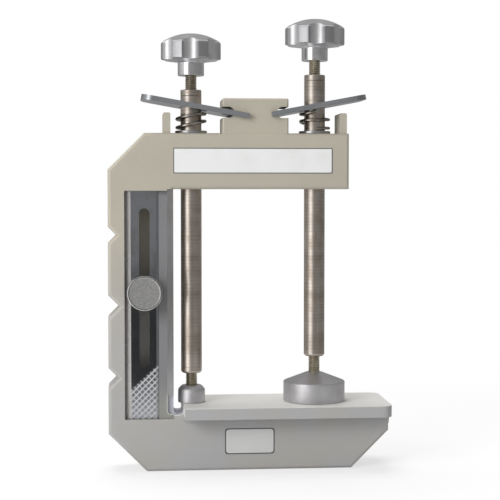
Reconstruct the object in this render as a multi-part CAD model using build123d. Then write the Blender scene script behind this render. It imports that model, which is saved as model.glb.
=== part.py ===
from build123d import *

import math
import os
from dataclasses import dataclass

os.makedirs("parts", exist_ok=True)

# The clamp stands on its base with its front towards -Y. The origin is the middle of the base's
# resting face, and the plane Y = 0 holds both spindles.

# Frame casting, front view
FRAME_WIDTH = 234.6
BASE_CORNER = 31.6
ANVIL_HEIGHT = 55.2
THROAT_HEIGHT = 179.1
ARM_HEIGHT = 46.3
ARM_CORNER = 30.0
COLUMN_WIDTH = 54.0
ARM_REACH = 146.3

# Frame casting, side view
FRAME_THICKNESS = 36.0
EDGE_ROUNDING = 3.0
ANVIL_DEPTH = 76.0
FLANGE_THICKNESS = 9.5
FLANGE_COVE = 8.0
FLANGE_CORNER = 8.0

# V notches in the back of the column, lowest first
NOTCH_FIRST_HEIGHT = 78.1
NOTCH_PITCH = 59.2
NOTCH_DEPTHS = (8.4, 9.5, 6.8)

# Relief groove where the fence and the anvil meet
RELIEF_BELOW_ANVIL = 8.2
RELIEF_WIDTH_IN_ANVIL = 7.8
RELIEF_HEIGHT_IN_FENCE = 7.5
RELIEF_CORNER = 3.0
RELIEF_POCKET_DEPTH = 8.0

# Tower between the spindles and the two stop ears
TOWER_WIDTH = 54.9
TOWER_OFFSET = 0.7
TOWER_HEIGHT = 28.9
TOWER_DEPTH = 34.0
TOWER_ROUNDING = 1.5
TOWER_SLOT_DEPTH = 9.7
TOWER_SLOT_FLOOR = 12.6
TOWER_SLOT_HEIGHT = 9.2
EAR_THICKNESS = 6.0
EAR_DEPTH = 29.0
EAR_HEIGHT = 16.9
EAR_ROUNDING = 1.2
LEFT_EAR_TO_SPINDLE = 20.6
RIGHT_EAR_TO_SPINDLE = 22.3

# Recessed face of the column with the slotted plate
RECESS_DEPTH = 5.0
RECESS_LEFT_MARGIN = 13.5
RECESS_BOTTOM_HEIGHT = 43.6
RECESS_TOP_MARGIN = 1.2
PLATE_WIDTH = 28.3
PLATE_THICKNESS = 6.0
PLATE_PROUD = 1.0
PLATE_LEFT_BEVEL = 6.5
PLATE_RIGHT_BEVEL = 2.0
PLATE_BEVEL_DEPTH = 1.3
PLATE_SLOT_WIDTH = 8.6
PLATE_SLOT_LENGTH = 132.6
PLATE_SLOT_HEIGHT = 152.1
PLATE_SLOT_OFFSET = 2.35
PLATE_FIT = 0.05
NUT_POCKET_DEPTH = 11.0
NUT_POCKET_WIDTH = 15.0

# Fence plate on the inner side of the column
FENCE_THICKNESS = 5.2
FENCE_SCREW_COUNT = 3
FENCE_SCREW_DIAMETER = 5.0
FENCE_SCREW_HEAD = 9.6
FENCE_SCREW_LENGTH = 16.0
FENCE_SCREW_MARGIN = 22.0
FENCE_SCREW_BEHIND_MIDDLE = 8.0

# Screws that pull the slotted plate into its channel from behind
PLATE_SCREW_DIAMETER = 4.0
PLATE_SCREW_HEAD = 7.0
PLATE_SCREW_HEAD_HEIGHT = 4.0
PLATE_SCREW_SINK = 6.0
PLATE_SCREW_BITE = 3.2
PLATE_SCREW_EDGE = 4.8
PLATE_SCREW_END = 29.0

# Thumb knob on the slotted plate
KNOB_DIAMETER = 29.0
KNOB_HEAD_LENGTH = 11.0
KNOB_EDGE = 1.2
KNOB_NECK_DIAMETER = 15.0
KNOB_NECK_LENGTH = 6.0
KNOB_HEIGHT = 149.5
STUD_DIAMETER = 8.0
STUD_IN_KNOB = 9.0
STUD_PAST_NUT = 1.5
SLIDE_NUT_HEIGHT = 20.0
SLIDE_NUT_THICKNESS = 7.0
THUMB_WASHER_DIAMETER = 20.0
THUMB_WASHER_THICKNESS = 1.6

# Spindles
SPINDLE_SPACING = 104.1
FENCE_TO_SPINDLE = 15.4
TUBE_DIAMETER = 17.5
TUBE_BORE = 12.0
TUBE_LENGTH = 237.0
TUBE_END_ROUNDING = 2.2
TUBE_CAP_HEIGHT = 5.3
TUBE_CAP_EDGE = 0.5
TUBE_CAP_SPIGOT = 8.0
TUBE_NUT_LENGTH = 18.0
SCREW_DIAMETER = 9.7
SCREW_ABOVE_TUBE = 11.7
SCREW_IN_KNOB = 18.0
SCREW_TIP_DIAMETER = 7.0
SCREW_TIP_PAST_CLIP = 1.2

# Star knobs
STAR_DIAMETER = 50.0
STAR_LOBES = 7
STAR_FLUTE_DIAMETER = 16.0
STAR_FLUTE_DEPTH = 4.3
STAR_RIM_HEIGHT = 14.1
STAR_DOME_HEIGHT = 7.8
STAR_UNDERSIDE_DROP = 2.0
STAR_EDGE_BEVEL = 1.3
STAR_HUB_DIAMETER = 22.0
STAR_HUB_HEIGHT = 13.2
STAR_TURN = -4.0
SET_SCREW_DIAMETER = 5.0
SET_SCREW_HEIGHT = 6.0
SET_SCREW_SINK = 0.5

# Feet
SMALL_FOOT_DIAMETER = 22.7
SMALL_FOOT_HEIGHT = 14.6
SMALL_FOOT_BEVEL = 3.4
WIDE_FOOT_DIAMETER = 52.0
WIDE_FOOT_WALL = 16.6
WIDE_FOOT_HEIGHT = 24.3
WIDE_FOOT_TOP_DIAMETER = 13.0
FOOT_EDGE = 0.8
FOOT_WEB = 3.5
FOOT_RECESS_DEPTH = 4.5
FOOT_RECESS_DIAMETER = 14.0
CLIP_DIAMETER = 11.0
CLIP_THICKNESS = 1.0
CLIP_GROOVE_DEPTH = 0.6

# Levers, springs and spring washers
LEVER_THICKNESS = 4.2
LEVER_WIDTH = 44.0
LEVER_OUTER_REACH = 42.3
LEVER_CORNER = 10.0
LEVER_LONG_TINE = 17.5
LEVER_SHORT_TINE = 8.7
SPRING_WASHER_DIAMETER = 26.6
SPRING_WASHER_THICKNESS = 2.4
SPRING_DIAMETER = 26.2
SPRING_WIRE = 2.4
SPRING_TURNS = 2.0
SPRING_BENDS_PER_TURN = 16

# Clearances, and the most of its wall that a rounding may take
RUNNING = 0.05
REST_GAP = 0.05
LOOSE = 0.2
LEVER_HOLE_PLAY = 0.95
LEVER_SIDE_PLAY = 0.7
SPRING_SEAT = 0.3
LARGEST_SHARE_OF_WALL = 0.9

# Heights and places that follow
ARM_BOTTOM = ANVIL_HEIGHT + THROAT_HEIGHT
ARM_TOP = ARM_BOTTOM + ARM_HEIGHT
HALF_WIDTH = FRAME_WIDTH / 2
HALF_THICKNESS = FRAME_THICKNESS / 2
FENCE_X = -HALF_WIDTH + COLUMN_WIDTH
FENCE_SEAT_X = FENCE_X - FENCE_THICKNESS
ARM_END_X = FENCE_X + ARM_REACH
SPINDLE_MIDDLE_X = FENCE_X + FENCE_TO_SPINDLE + SPINDLE_SPACING / 2
RECESS_Y = -HALF_THICKNESS + RECESS_DEPTH
RECESS_LEFT_X = -HALF_WIDTH + RECESS_LEFT_MARGIN
RECESS_TOP = ARM_BOTTOM - RECESS_TOP_MARGIN
PLATE_FRONT_Y = RECESS_Y - PLATE_PROUD
PLATE_BACK_Y = PLATE_FRONT_Y + PLATE_THICKNESS
SLOT_X = RECESS_LEFT_X + PLATE_WIDTH / 2 + PLATE_SLOT_OFFSET
RELIEF_TOP = ANVIL_HEIGHT + RELIEF_HEIGHT_IN_FENCE
ANVIL_LEFT_X = FENCE_X + RELIEF_WIDTH_IN_ANVIL
TOWER_TOP = ARM_TOP + TOWER_HEIGHT
LEVER_PIVOT_Z = ARM_TOP + TOWER_SLOT_FLOOR + TOWER_SLOT_HEIGHT / 2
NOSE_RADIUS = LEVER_THICKNESS / 2
PIVOT_TO_SPINDLE = (SPINDLE_SPACING - TOWER_WIDTH - TOWER_SLOT_HEIGHT) / 2 + TOWER_SLOT_DEPTH
TINE_INNER_Y = TOWER_DEPTH / 2 + LEVER_SIDE_PLAY


@dataclass(frozen=True)
class Side:
    """One spindle with its lever: what differs between the left one and the right one."""

    name: str
    outward: int
    foot_height: float
    screw_below_tube: float
    lever_tilt: float

    @property
    def x(self):
        return SPINDLE_MIDDLE_X + self.outward * SPINDLE_SPACING / 2

    @property
    def foot_bottom(self):
        return ANVIL_HEIGHT + REST_GAP

    @property
    def foot_top(self):
        return self.foot_bottom + self.foot_height

    @property
    def tube_bottom(self):
        return self.foot_top + self.screw_below_tube

    @property
    def tube_top(self):
        return self.tube_bottom + TUBE_LENGTH

    @property
    def knob_bottom(self):
        return self.tube_top + SCREW_ABOVE_TUBE

    @property
    def pivot_x(self):
        return self.x - self.outward * PIVOT_TO_SPINDLE


LEFT = Side("left", -1, SMALL_FOOT_HEIGHT, 10.1, 10.1)
RIGHT = Side("right", 1, WIDE_FOOT_HEIGHT, 13.5, 10.7)
SIDES = (LEFT, RIGHT)


def block(x0, x1, y0, y1, z0, z1):
    """A box between two corners."""
    size = Box(x1 - x0, y1 - y0, z1 - z0)
    return Pos((x0 + x1) / 2, (y0 + y1) / 2, (z0 + z1) / 2) * size


def rod(diameter, z0, z1):
    """An upright cylinder on the Z axis."""
    return Pos(0, 0, (z0 + z1) / 2) * Cylinder(diameter / 2, z1 - z0)


def rod_along_y(diameter, x, z, y0, y1):
    """A cylinder that runs from front to back."""
    return Pos(x, (y0 + y1) / 2, z) * Rot(90, 0, 0) * Cylinder(diameter / 2, y1 - y0)


def turned(points):
    """A body turned about the Z axis from (radius, height) points."""
    profile = make_face(Polyline(*[(r, 0, z) for r, z in points], close=True))
    return revolve(profile, Axis.Z)


def front_profile(points, depth):
    """A prism from (x, z) points, centred on Y = 0."""
    outline = make_face(Polyline(*[(x, 0, z) for x, z in points], close=True))
    return extrude(outline, depth / 2, dir=(0, 1, 0), both=True)


def column_notches():
    """Outline points of the V notches, from the top one down."""
    points = []
    for index, depth in reversed(list(enumerate(NOTCH_DEPTHS))):
        z = NOTCH_FIRST_HEIGHT + index * NOTCH_PITCH
        points += [(-HALF_WIDTH, z + depth), (-HALF_WIDTH + depth, z), (-HALF_WIDTH, z - depth)]
    return points


def frame_blank():
    """The C shape with rounded front and back edges, before anything is machined."""
    outline = [
        (-HALF_WIDTH + BASE_CORNER, 0),
        (HALF_WIDTH - BASE_CORNER, 0),
        (HALF_WIDTH, BASE_CORNER),
        (HALF_WIDTH, ANVIL_HEIGHT),
        (FENCE_X, ANVIL_HEIGHT),
        (FENCE_X, ARM_BOTTOM),
        (ARM_END_X, ARM_BOTTOM),
        (ARM_END_X, ARM_TOP),
        (-HALF_WIDTH + ARM_CORNER, ARM_TOP),
        (-HALF_WIDTH, ARM_TOP - ARM_CORNER),
        *column_notches(),
        (-HALF_WIDTH, BASE_CORNER),
    ]
    blank = front_profile(outline, FRAME_THICKNESS)
    faces = blank.faces().sort_by(Axis.Y)
    return fillet(faces[0].edges() + faces[-1].edges(), EDGE_ROUNDING)


def anvil_flange():
    """The clamping table: a flange with a cove under each overhang, which runs out on the left."""
    bottom = ANVIL_HEIGHT - FLANGE_THICKNESS
    half_depth = ANVIL_DEPTH / 2
    flange = block(ANVIL_LEFT_X, HALF_WIDTH, -half_depth, half_depth, bottom, ANVIL_HEIGHT)
    length = HALF_WIDTH - ANVIL_LEFT_X
    middle = (HALF_WIDTH + ANVIL_LEFT_X) / 2
    for side in (-1, 1):
        web = side * HALF_THICKNESS
        reach = side * (HALF_THICKNESS + FLANGE_COVE)
        cove = block(ANVIL_LEFT_X, HALF_WIDTH, min(web, reach), max(web, reach), bottom - FLANGE_COVE, bottom)
        left_end = cove.edges().filter_by(Axis.Y).group_by(Axis.Z)[0].sort_by(Axis.X)[0]
        cove = fillet(left_end, LARGEST_SHARE_OF_WALL * FLANGE_COVE)
        hollow = Pos(middle, reach, bottom - FLANGE_COVE) * Rot(0, 90, 0) * Cylinder(FLANGE_COVE, length)
        flange += cove - hollow
    corners = flange.edges().filter_by(Axis.Z).group_by(Axis.X)[-1].filter_by(
        lambda edge: abs(abs(edge.center().Y) - half_depth) < FLANGE_CORNER / 2)
    return fillet(corners, FLANGE_CORNER)


def tower():
    """The block between the spindles with a round-ended slot in each flank for a lever's nose."""
    half = TOWER_WIDTH / 2
    body = block(-half, half, -TOWER_DEPTH / 2, TOWER_DEPTH / 2, ARM_TOP - ARM_HEIGHT / 2, TOWER_TOP)
    rounded = body.edges().filter_by(Axis.Z) + body.faces().sort_by(Axis.Z)[-1].edges()
    body = fillet(rounded, TOWER_ROUNDING)
    middle = ARM_TOP + TOWER_SLOT_FLOOR + TOWER_SLOT_HEIGHT / 2
    for side in (-1, 1):
        end = side * (half - TOWER_SLOT_DEPTH + TOWER_SLOT_HEIGHT / 2)
        body -= block(min(end, side * half), max(end, side * half), -TOWER_DEPTH, TOWER_DEPTH,
                      middle - TOWER_SLOT_HEIGHT / 2, middle + TOWER_SLOT_HEIGHT / 2)
        body -= rod_along_y(TOWER_SLOT_HEIGHT, end, middle, -TOWER_DEPTH, TOWER_DEPTH)
    return Pos(SPINDLE_MIDDLE_X + TOWER_OFFSET, 0, 0) * body


def ear(side, distance):
    """A stop ear outside a spindle; the distance is from the spindle's middle to the ear's."""
    ear_body = Box(EAR_THICKNESS, EAR_DEPTH, EAR_HEIGHT + ARM_HEIGHT / 2)
    ear_body = fillet(ear_body.faces().sort_by(Axis.Z)[-1].edges(), EAR_ROUNDING)
    return Pos(side.x + side.outward * distance, 0, ARM_TOP + EAR_HEIGHT / 2 - ARM_HEIGHT / 4) * ear_body


def relief_groove():
    """The groove that clears a work piece's corner, with a pocket in front under the fence plate."""
    floor = ANVIL_HEIGHT - RELIEF_BELOW_ANVIL
    pocket_back = RELIEF_POCKET_DEPTH - HALF_THICKNESS
    groove = block(FENCE_X, ANVIL_LEFT_X, -ANVIL_DEPTH, ANVIL_DEPTH, floor, RELIEF_TOP)
    pocket = block(FENCE_SEAT_X, ANVIL_LEFT_X, -ANVIL_DEPTH, pocket_back, floor, RELIEF_TOP)
    groove = fillet(groove.edges().filter_by(Axis.Y).group_by(Axis.Z)[0], RELIEF_CORNER)
    pocket = fillet(pocket.edges().filter_by(Axis.Y).group_by(Axis.Z)[0], RELIEF_CORNER)
    return groove + pocket


def fence_screw_heights():
    low = RELIEF_TOP + FENCE_SCREW_MARGIN
    high = ARM_BOTTOM - FENCE_SCREW_MARGIN
    return [low + (high - low) * i / (FENCE_SCREW_COUNT - 1) for i in range(FENCE_SCREW_COUNT)]


def fence_screw(play):
    """A countersunk screw along +X with its flat head in the plane X = 0."""
    radius = FENCE_SCREW_DIAMETER / 2 + play
    head = FENCE_SCREW_HEAD / 2 + play
    points = [(0, 0), (head, 0), (radius, radius - head), (radius, -FENCE_SCREW_LENGTH - play),
              (0, -FENCE_SCREW_LENGTH - play)]
    return Rot(0, 90, 0) * turned(points)


def at_fence_screws(shape):
    return [Pos(FENCE_X, FENCE_SCREW_BEHIND_MIDDLE, z) * shape for z in fence_screw_heights()]


def plate_screw_places():
    x = RECESS_LEFT_X + PLATE_SCREW_EDGE
    return [(x, RECESS_BOTTOM_HEIGHT + PLATE_SCREW_END), (x, RECESS_TOP - PLATE_SCREW_END)]


def plate_screw(x, z, play):
    """A cap screw from the back of the column into the slotted plate."""
    head_y = HALF_THICKNESS - PLATE_SCREW_SINK
    shank = rod_along_y(PLATE_SCREW_DIAMETER + 2 * play, x, z, PLATE_BACK_Y - PLATE_SCREW_BITE - play, head_y)
    head = rod_along_y(PLATE_SCREW_HEAD + 2 * play, x, z, head_y, head_y + PLATE_SCREW_HEAD_HEIGHT)
    return shank + head


def round_ended(width, length, z, y0, y1):
    """An upright bar with round ends on the slot's middle line, from y0 back to y1."""
    straight = length - width
    low = z - straight / 2
    high = z + straight / 2
    bar = block(SLOT_X - width / 2, SLOT_X + width / 2, y0, y1, low, high)
    for end in (low, high):
        bar += rod_along_y(width, SLOT_X, end, y0, y1)
    return bar


def frame_casting():
    frame = frame_blank() + anvil_flange() + tower()
    frame += ear(LEFT, LEFT_EAR_TO_SPINDLE)
    frame += ear(RIGHT, RIGHT_EAR_TO_SPINDLE)
    # fence seat and relief groove
    frame -= block(FENCE_SEAT_X, FENCE_X, -FRAME_THICKNESS, FRAME_THICKNESS, RELIEF_TOP, ARM_BOTTOM)
    frame -= relief_groove()
    # recessed face, channel for the plate and pocket for the sliding nut
    frame -= block(RECESS_LEFT_X, FENCE_X, -FRAME_THICKNESS, RECESS_Y, RECESS_BOTTOM_HEIGHT, RECESS_TOP)
    channel_right = RECESS_LEFT_X + PLATE_WIDTH
    frame -= block(RECESS_LEFT_X, channel_right, RECESS_Y - RECESS_DEPTH, PLATE_BACK_Y,
                   RECESS_BOTTOM_HEIGHT, RECESS_TOP)
    pocket_length = PLATE_SLOT_LENGTH - PLATE_SLOT_WIDTH + SLIDE_NUT_HEIGHT + 2 * LOOSE
    frame -= round_ended(NUT_POCKET_WIDTH, pocket_length, PLATE_SLOT_HEIGHT,
                         PLATE_BACK_Y - PLATE_THICKNESS, PLATE_BACK_Y + NUT_POCKET_DEPTH)
    for x, z in plate_screw_places():
        frame -= plate_screw(x, z, LOOSE)
        frame -= rod_along_y(PLATE_SCREW_HEAD + 2 * LOOSE, x, z, HALF_THICKNESS - PLATE_SCREW_SINK,
                             FRAME_THICKNESS)
    for hole in at_fence_screws(fence_screw(0)):
        frame -= hole
    for side in SIDES:
        frame -= Pos(side.x, 0, 0) * rod(TUBE_DIAMETER + 2 * RUNNING, ARM_BOTTOM, ARM_TOP)
    return frame


def slotted_plate():
    """The bevelled plate that fills the channel."""
    left = RECESS_LEFT_X + PLATE_FIT
    right = RECESS_LEFT_X + PLATE_WIDTH - PLATE_FIT
    low = RECESS_BOTTOM_HEIGHT + PLATE_FIT
    high = RECESS_TOP - PLATE_FIT
    section = make_face(Polyline(
        (left, PLATE_BACK_Y, low),
        (right, PLATE_BACK_Y, low),
        (right, PLATE_FRONT_Y + PLATE_BEVEL_DEPTH, low),
        (right - PLATE_RIGHT_BEVEL, PLATE_FRONT_Y, low),
        (left + PLATE_LEFT_BEVEL, PLATE_FRONT_Y, low),
        (left, PLATE_FRONT_Y + PLATE_BEVEL_DEPTH, low),
        close=True))
    plate = extrude(section, high - low, dir=(0, 0, 1))
    plate -= round_ended(PLATE_SLOT_WIDTH, PLATE_SLOT_LENGTH, PLATE_SLOT_HEIGHT,
                         PLATE_FRONT_Y - PLATE_THICKNESS, PLATE_BACK_Y + PLATE_THICKNESS)
    for x, z in plate_screw_places():
        plate -= plate_screw(x, z, 0)
    return plate


def fence_plate():
    plate = block(FENCE_SEAT_X, FENCE_X, RECESS_Y, HALF_THICKNESS, RELIEF_TOP, ARM_BOTTOM)
    for hole in at_fence_screws(fence_screw(0)):
        plate -= hole
    return plate


def slide_nut():
    """The nut behind the slotted plate, guided by its pocket."""
    front = PLATE_BACK_Y + REST_GAP
    back = front + SLIDE_NUT_THICKNESS
    nut = round_ended(NUT_POCKET_WIDTH - 2 * LOOSE, SLIDE_NUT_HEIGHT, KNOB_HEIGHT, front, back)
    return nut - rod_along_y(STUD_DIAMETER + 2 * RUNNING, SLOT_X, KNOB_HEIGHT, front - LOOSE, back + LOOSE)


WASHER_BACK_Y = PLATE_FRONT_Y - REST_GAP
WASHER_FRONT_Y = WASHER_BACK_Y - THUMB_WASHER_THICKNESS
NECK_BACK_Y = WASHER_FRONT_Y - REST_GAP


def thumb_washer():
    washer = rod_along_y(THUMB_WASHER_DIAMETER, SLOT_X, KNOB_HEIGHT, WASHER_FRONT_Y, WASHER_BACK_Y)
    return washer - rod_along_y(STUD_DIAMETER + 2 * RUNNING, SLOT_X, KNOB_HEIGHT,
                                WASHER_FRONT_Y - LOOSE, WASHER_BACK_Y + LOOSE)


def thumb_knob():
    """A plain round knob with a neck, turned about the stud."""
    head = KNOB_DIAMETER / 2
    neck = KNOB_NECK_DIAMETER / 2
    stud = STUD_DIAMETER / 2
    length = KNOB_NECK_LENGTH + KNOB_HEAD_LENGTH
    points = [
        (stud, 0),
        (neck, 0),
        (neck, KNOB_NECK_LENGTH),
        (head - KNOB_EDGE, KNOB_NECK_LENGTH),
        (head, KNOB_NECK_LENGTH + KNOB_EDGE),
        (head, length - KNOB_EDGE),
        (head - KNOB_EDGE, length),
        (0, length),
        (0, STUD_IN_KNOB),
        (stud, STUD_IN_KNOB),
    ]
    return Pos(SLOT_X, NECK_BACK_Y, KNOB_HEIGHT) * Rot(90, 0, 0) * turned(points)


def thumb_stud():
    back = PLATE_BACK_Y + REST_GAP + SLIDE_NUT_THICKNESS + STUD_PAST_NUT
    return rod_along_y(STUD_DIAMETER, SLOT_X, KNOB_HEIGHT, NECK_BACK_Y - STUD_IN_KNOB, back)


def clamp_tube():
    """The sliding tube: a collar closes its top and a threaded nut its bottom."""
    wall = (TUBE_DIAMETER - TUBE_BORE) / 2
    body_length = TUBE_LENGTH - TUBE_CAP_HEIGHT
    tube = rod(TUBE_DIAMETER, 0, body_length)
    tube = fillet(tube.edges().group_by(Axis.Z)[0], min(TUBE_END_ROUNDING, LARGEST_SHARE_OF_WALL * wall))
    return tube - rod(TUBE_BORE, 0, body_length)


def tube_cap():
    """The guide collar in the tube's top end, with a flange as wide as the tube."""
    bottom = TUBE_LENGTH - TUBE_CAP_HEIGHT
    flange = rod(TUBE_DIAMETER, bottom, TUBE_LENGTH)
    flange = chamfer(flange.edges().group_by(Axis.Z)[-1], TUBE_CAP_EDGE)
    collar = flange + rod(TUBE_BORE, bottom - TUBE_CAP_SPIGOT, bottom)
    return collar - rod(SCREW_DIAMETER + 2 * RUNNING, bottom - TUBE_CAP_SPIGOT, TUBE_LENGTH)


def tube_nut():
    return rod(TUBE_BORE, 0, TUBE_NUT_LENGTH) - rod(SCREW_DIAMETER + 2 * RUNNING, 0, TUBE_NUT_LENGTH)


def spindle_screw(side):
    """The long screw from the foot's web up into the star knob, in the frame's heights."""
    shoulder = side.foot_bottom + FOOT_RECESS_DEPTH + FOOT_WEB + REST_GAP
    clip_top = side.foot_bottom + FOOT_RECESS_DEPTH - REST_GAP
    clip_bottom = clip_top - CLIP_THICKNESS
    groove = SCREW_TIP_DIAMETER / 2 - CLIP_GROOVE_DEPTH
    tip = SCREW_TIP_DIAMETER / 2
    radius = SCREW_DIAMETER / 2
    top = side.knob_bottom + SCREW_IN_KNOB
    return turned([
        (0, clip_bottom - SCREW_TIP_PAST_CLIP),
        (tip, clip_bottom - SCREW_TIP_PAST_CLIP),
        (tip, clip_bottom),
        (groove, clip_bottom),
        (groove, clip_top),
        (tip, clip_top),
        (tip, shoulder),
        (radius, shoulder),
        (radius, top),
        (0, top),
    ])


def foot_clip(side):
    top = side.foot_bottom + FOOT_RECESS_DEPTH - REST_GAP
    bore = SCREW_TIP_DIAMETER - 2 * CLIP_GROOVE_DEPTH
    return rod(CLIP_DIAMETER, top - CLIP_THICKNESS, top) - rod(bore, top - CLIP_THICKNESS, top)


def star_knob():
    """The star knob with its hub's underside at Z = 0."""
    radius = STAR_DIAMETER / 2
    hub = STAR_HUB_DIAMETER / 2
    rim_bottom = STAR_HUB_HEIGHT
    rim_top = rim_bottom + STAR_RIM_HEIGHT
    apex = rim_top + STAR_DOME_HEIGHT
    profile = make_face([
        Line((0, 0, 0), (hub, 0, 0)),
        Line((hub, 0, 0), (hub, 0, rim_bottom - STAR_UNDERSIDE_DROP)),
        Line((hub, 0, rim_bottom - STAR_UNDERSIDE_DROP), (radius, 0, rim_bottom)),
        Line((radius, 0, rim_bottom), (radius, 0, rim_top)),
        ThreePointArc((radius, 0, rim_top), dome_point(radius, rim_top, apex), (0, 0, apex)),
        Line((0, 0, apex), (0, 0, 0)),
    ])
    knob = revolve(profile, Axis.Z)
    rim = knob.edges().filter_by(GeomType.CIRCLE).filter_by(lambda edge: abs(edge.radius - radius) < RUNNING)
    knob = chamfer(rim, STAR_EDGE_BEVEL)
    flute_middle = radius - STAR_FLUTE_DEPTH + STAR_FLUTE_DIAMETER / 2
    for index in range(STAR_LOBES):
        turn = -90 + STAR_TURN + index * 360 / STAR_LOBES
        flute = Pos(flute_middle, 0, 0) * rod(STAR_FLUTE_DIAMETER, rim_bottom - STAR_UNDERSIDE_DROP, apex)
        knob -= Rot(0, 0, turn) * flute
    knob -= rod(SCREW_DIAMETER, 0, SCREW_IN_KNOB)
    knob -= rod_along_y(SET_SCREW_DIAMETER, 0, SET_SCREW_HEIGHT, 0, hub)
    return knob


def dome_point(radius, rim_top, apex):
    """A point half way up the dome's arc, which is level at the apex."""
    height = apex - rim_top
    sphere = (radius ** 2 + height ** 2) / (2 * height)
    x = radius / 2
    return (x, 0, apex - sphere + math.sqrt(sphere ** 2 - x ** 2))


def knob_set_screw():
    """The headless screw in the back of the hub that locks the knob to its screw."""
    return rod_along_y(SET_SCREW_DIAMETER, 0, SET_SCREW_HEIGHT,
                       SCREW_DIAMETER / 2 + REST_GAP, STAR_HUB_DIAMETER / 2 - SET_SCREW_SINK)


def foot_cavity(height):
    """What is bored out of a foot: the screw's seat above the web and the clip's recess below it."""
    web_top = FOOT_RECESS_DEPTH + FOOT_WEB
    cavity = rod(FOOT_RECESS_DIAMETER, 0, FOOT_RECESS_DEPTH)
    cavity += rod(SCREW_TIP_DIAMETER + 2 * RUNNING, 0, web_top)
    cavity += rod(SCREW_DIAMETER + 2 * RUNNING, web_top, height)
    return cavity


def small_foot():
    radius = SMALL_FOOT_DIAMETER / 2
    foot = turned([
        (0, 0),
        (radius - FOOT_EDGE, 0),
        (radius, FOOT_EDGE),
        (radius, SMALL_FOOT_HEIGHT - SMALL_FOOT_BEVEL),
        (radius - SMALL_FOOT_BEVEL, SMALL_FOOT_HEIGHT),
        (0, SMALL_FOOT_HEIGHT),
    ])
    return foot - foot_cavity(SMALL_FOOT_HEIGHT)


def wide_foot():
    radius = WIDE_FOOT_DIAMETER / 2
    foot = turned([
        (0, 0),
        (radius - FOOT_EDGE, 0),
        (radius, FOOT_EDGE),
        (radius, WIDE_FOOT_WALL),
        (WIDE_FOOT_TOP_DIAMETER / 2, WIDE_FOOT_HEIGHT),
        (0, WIDE_FOOT_HEIGHT),
    ])
    rim = foot.edges().filter_by(GeomType.CIRCLE).group_by(Axis.Z)[-2]
    return chamfer(rim, FOOT_EDGE) - foot_cavity(WIDE_FOOT_HEIGHT)


def lever(side):
    """A latch lever lying level, its nose's axis at the origin and its outer end towards +X."""
    hole_x = PIVOT_TO_SPINDLE / math.cos(math.radians((LEFT.lever_tilt + RIGHT.lever_tilt) / 2))
    outer = hole_x + LEVER_OUTER_REACH
    half = LEVER_WIDTH / 2
    plate = block(0, outer, -half, half, -NOSE_RADIUS, NOSE_RADIUS)
    outer_corners = plate.edges().filter_by(Axis.Z).group_by(Axis.X)[-1]
    plate = fillet(outer_corners, LEVER_CORNER)
    nose_length = TINE_INNER_Y * 2
    nose = Rot(90, 0, 0) * Cylinder(NOSE_RADIUS, nose_length)
    long_tine = block(-LEVER_LONG_TINE, NOSE_RADIUS, TINE_INNER_Y, half, -NOSE_RADIUS, NOSE_RADIUS)
    short_tine = block(-LEVER_SHORT_TINE, NOSE_RADIUS, -half, -TINE_INNER_Y, -NOSE_RADIUS, NOSE_RADIUS)
    hole = Pos(hole_x, 0, 0) * Cylinder(TUBE_DIAMETER / 2 + LEVER_HOLE_PLAY, 2 * LEVER_THICKNESS)
    plate = plate + nose + long_tine + short_tine - hole
    turn = 0 if side.outward > 0 else 180
    swing = Rot(0, -side.lever_tilt, 0)
    return Pos(side.pivot_x, 0, LEVER_PIVOT_Z) * Rot(0, 0, turn) * swing * plate


def spring_washer():
    washer = rod(SPRING_WASHER_DIAMETER, ARM_TOP, ARM_TOP + SPRING_WASHER_THICKNESS)
    return washer - rod(TUBE_DIAMETER + 2 * LOOSE, ARM_TOP, ARM_TOP + SPRING_WASHER_THICKNESS)


def lever_spring(side):
    """A coil spring whose turns lean more and more with the lever that they carry."""
    wire = SPRING_WIRE / 2
    radius = (SPRING_DIAMETER - SPRING_WIRE) / 2
    slope = math.tan(math.radians(side.lever_tilt)) * side.outward
    low = ARM_TOP + SPRING_WASHER_THICKNESS + wire + SPRING_SEAT
    underside = LEVER_PIVOT_Z + PIVOT_TO_SPINDLE * abs(slope) - NOSE_RADIUS / math.cos(math.atan(slope))
    high = underside - wire / math.cos(math.atan(slope)) - SPRING_SEAT
    steps = int(SPRING_TURNS * SPRING_BENDS_PER_TURN)
    points = []
    for step in range(steps + 1):
        share = step / steps
        angle = 2 * math.pi * SPRING_TURNS * share
        x = radius * math.cos(angle) * side.outward
        y = radius * math.sin(angle) * side.outward
        points.append((x, y, low + (high - low) * share + x * slope * share))
    path = Polyline(*points)
    section = Plane(origin=path @ 0, z_dir=path % 0) * Circle(wire)
    return sweep(section, path, transition=Transition.RIGHT)


def save(shape, node):
    export_step(shape, f"parts/{node}.step")


save(frame_casting(), "frame_casting")
save(slotted_plate(), "slotted_plate")
save(fence_plate(), "fence_plate")
save(Compound(at_fence_screws(fence_screw(0))), "fence_screws")
save(Compound([plate_screw(x, z, 0) for x, z in plate_screw_places()]), "plate_screws")
save(slide_nut(), "slide_nut")
save(thumb_washer(), "thumb_washer")
save(thumb_knob(), "thumb_knob")
save(thumb_stud(), "thumb_stud")

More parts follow.
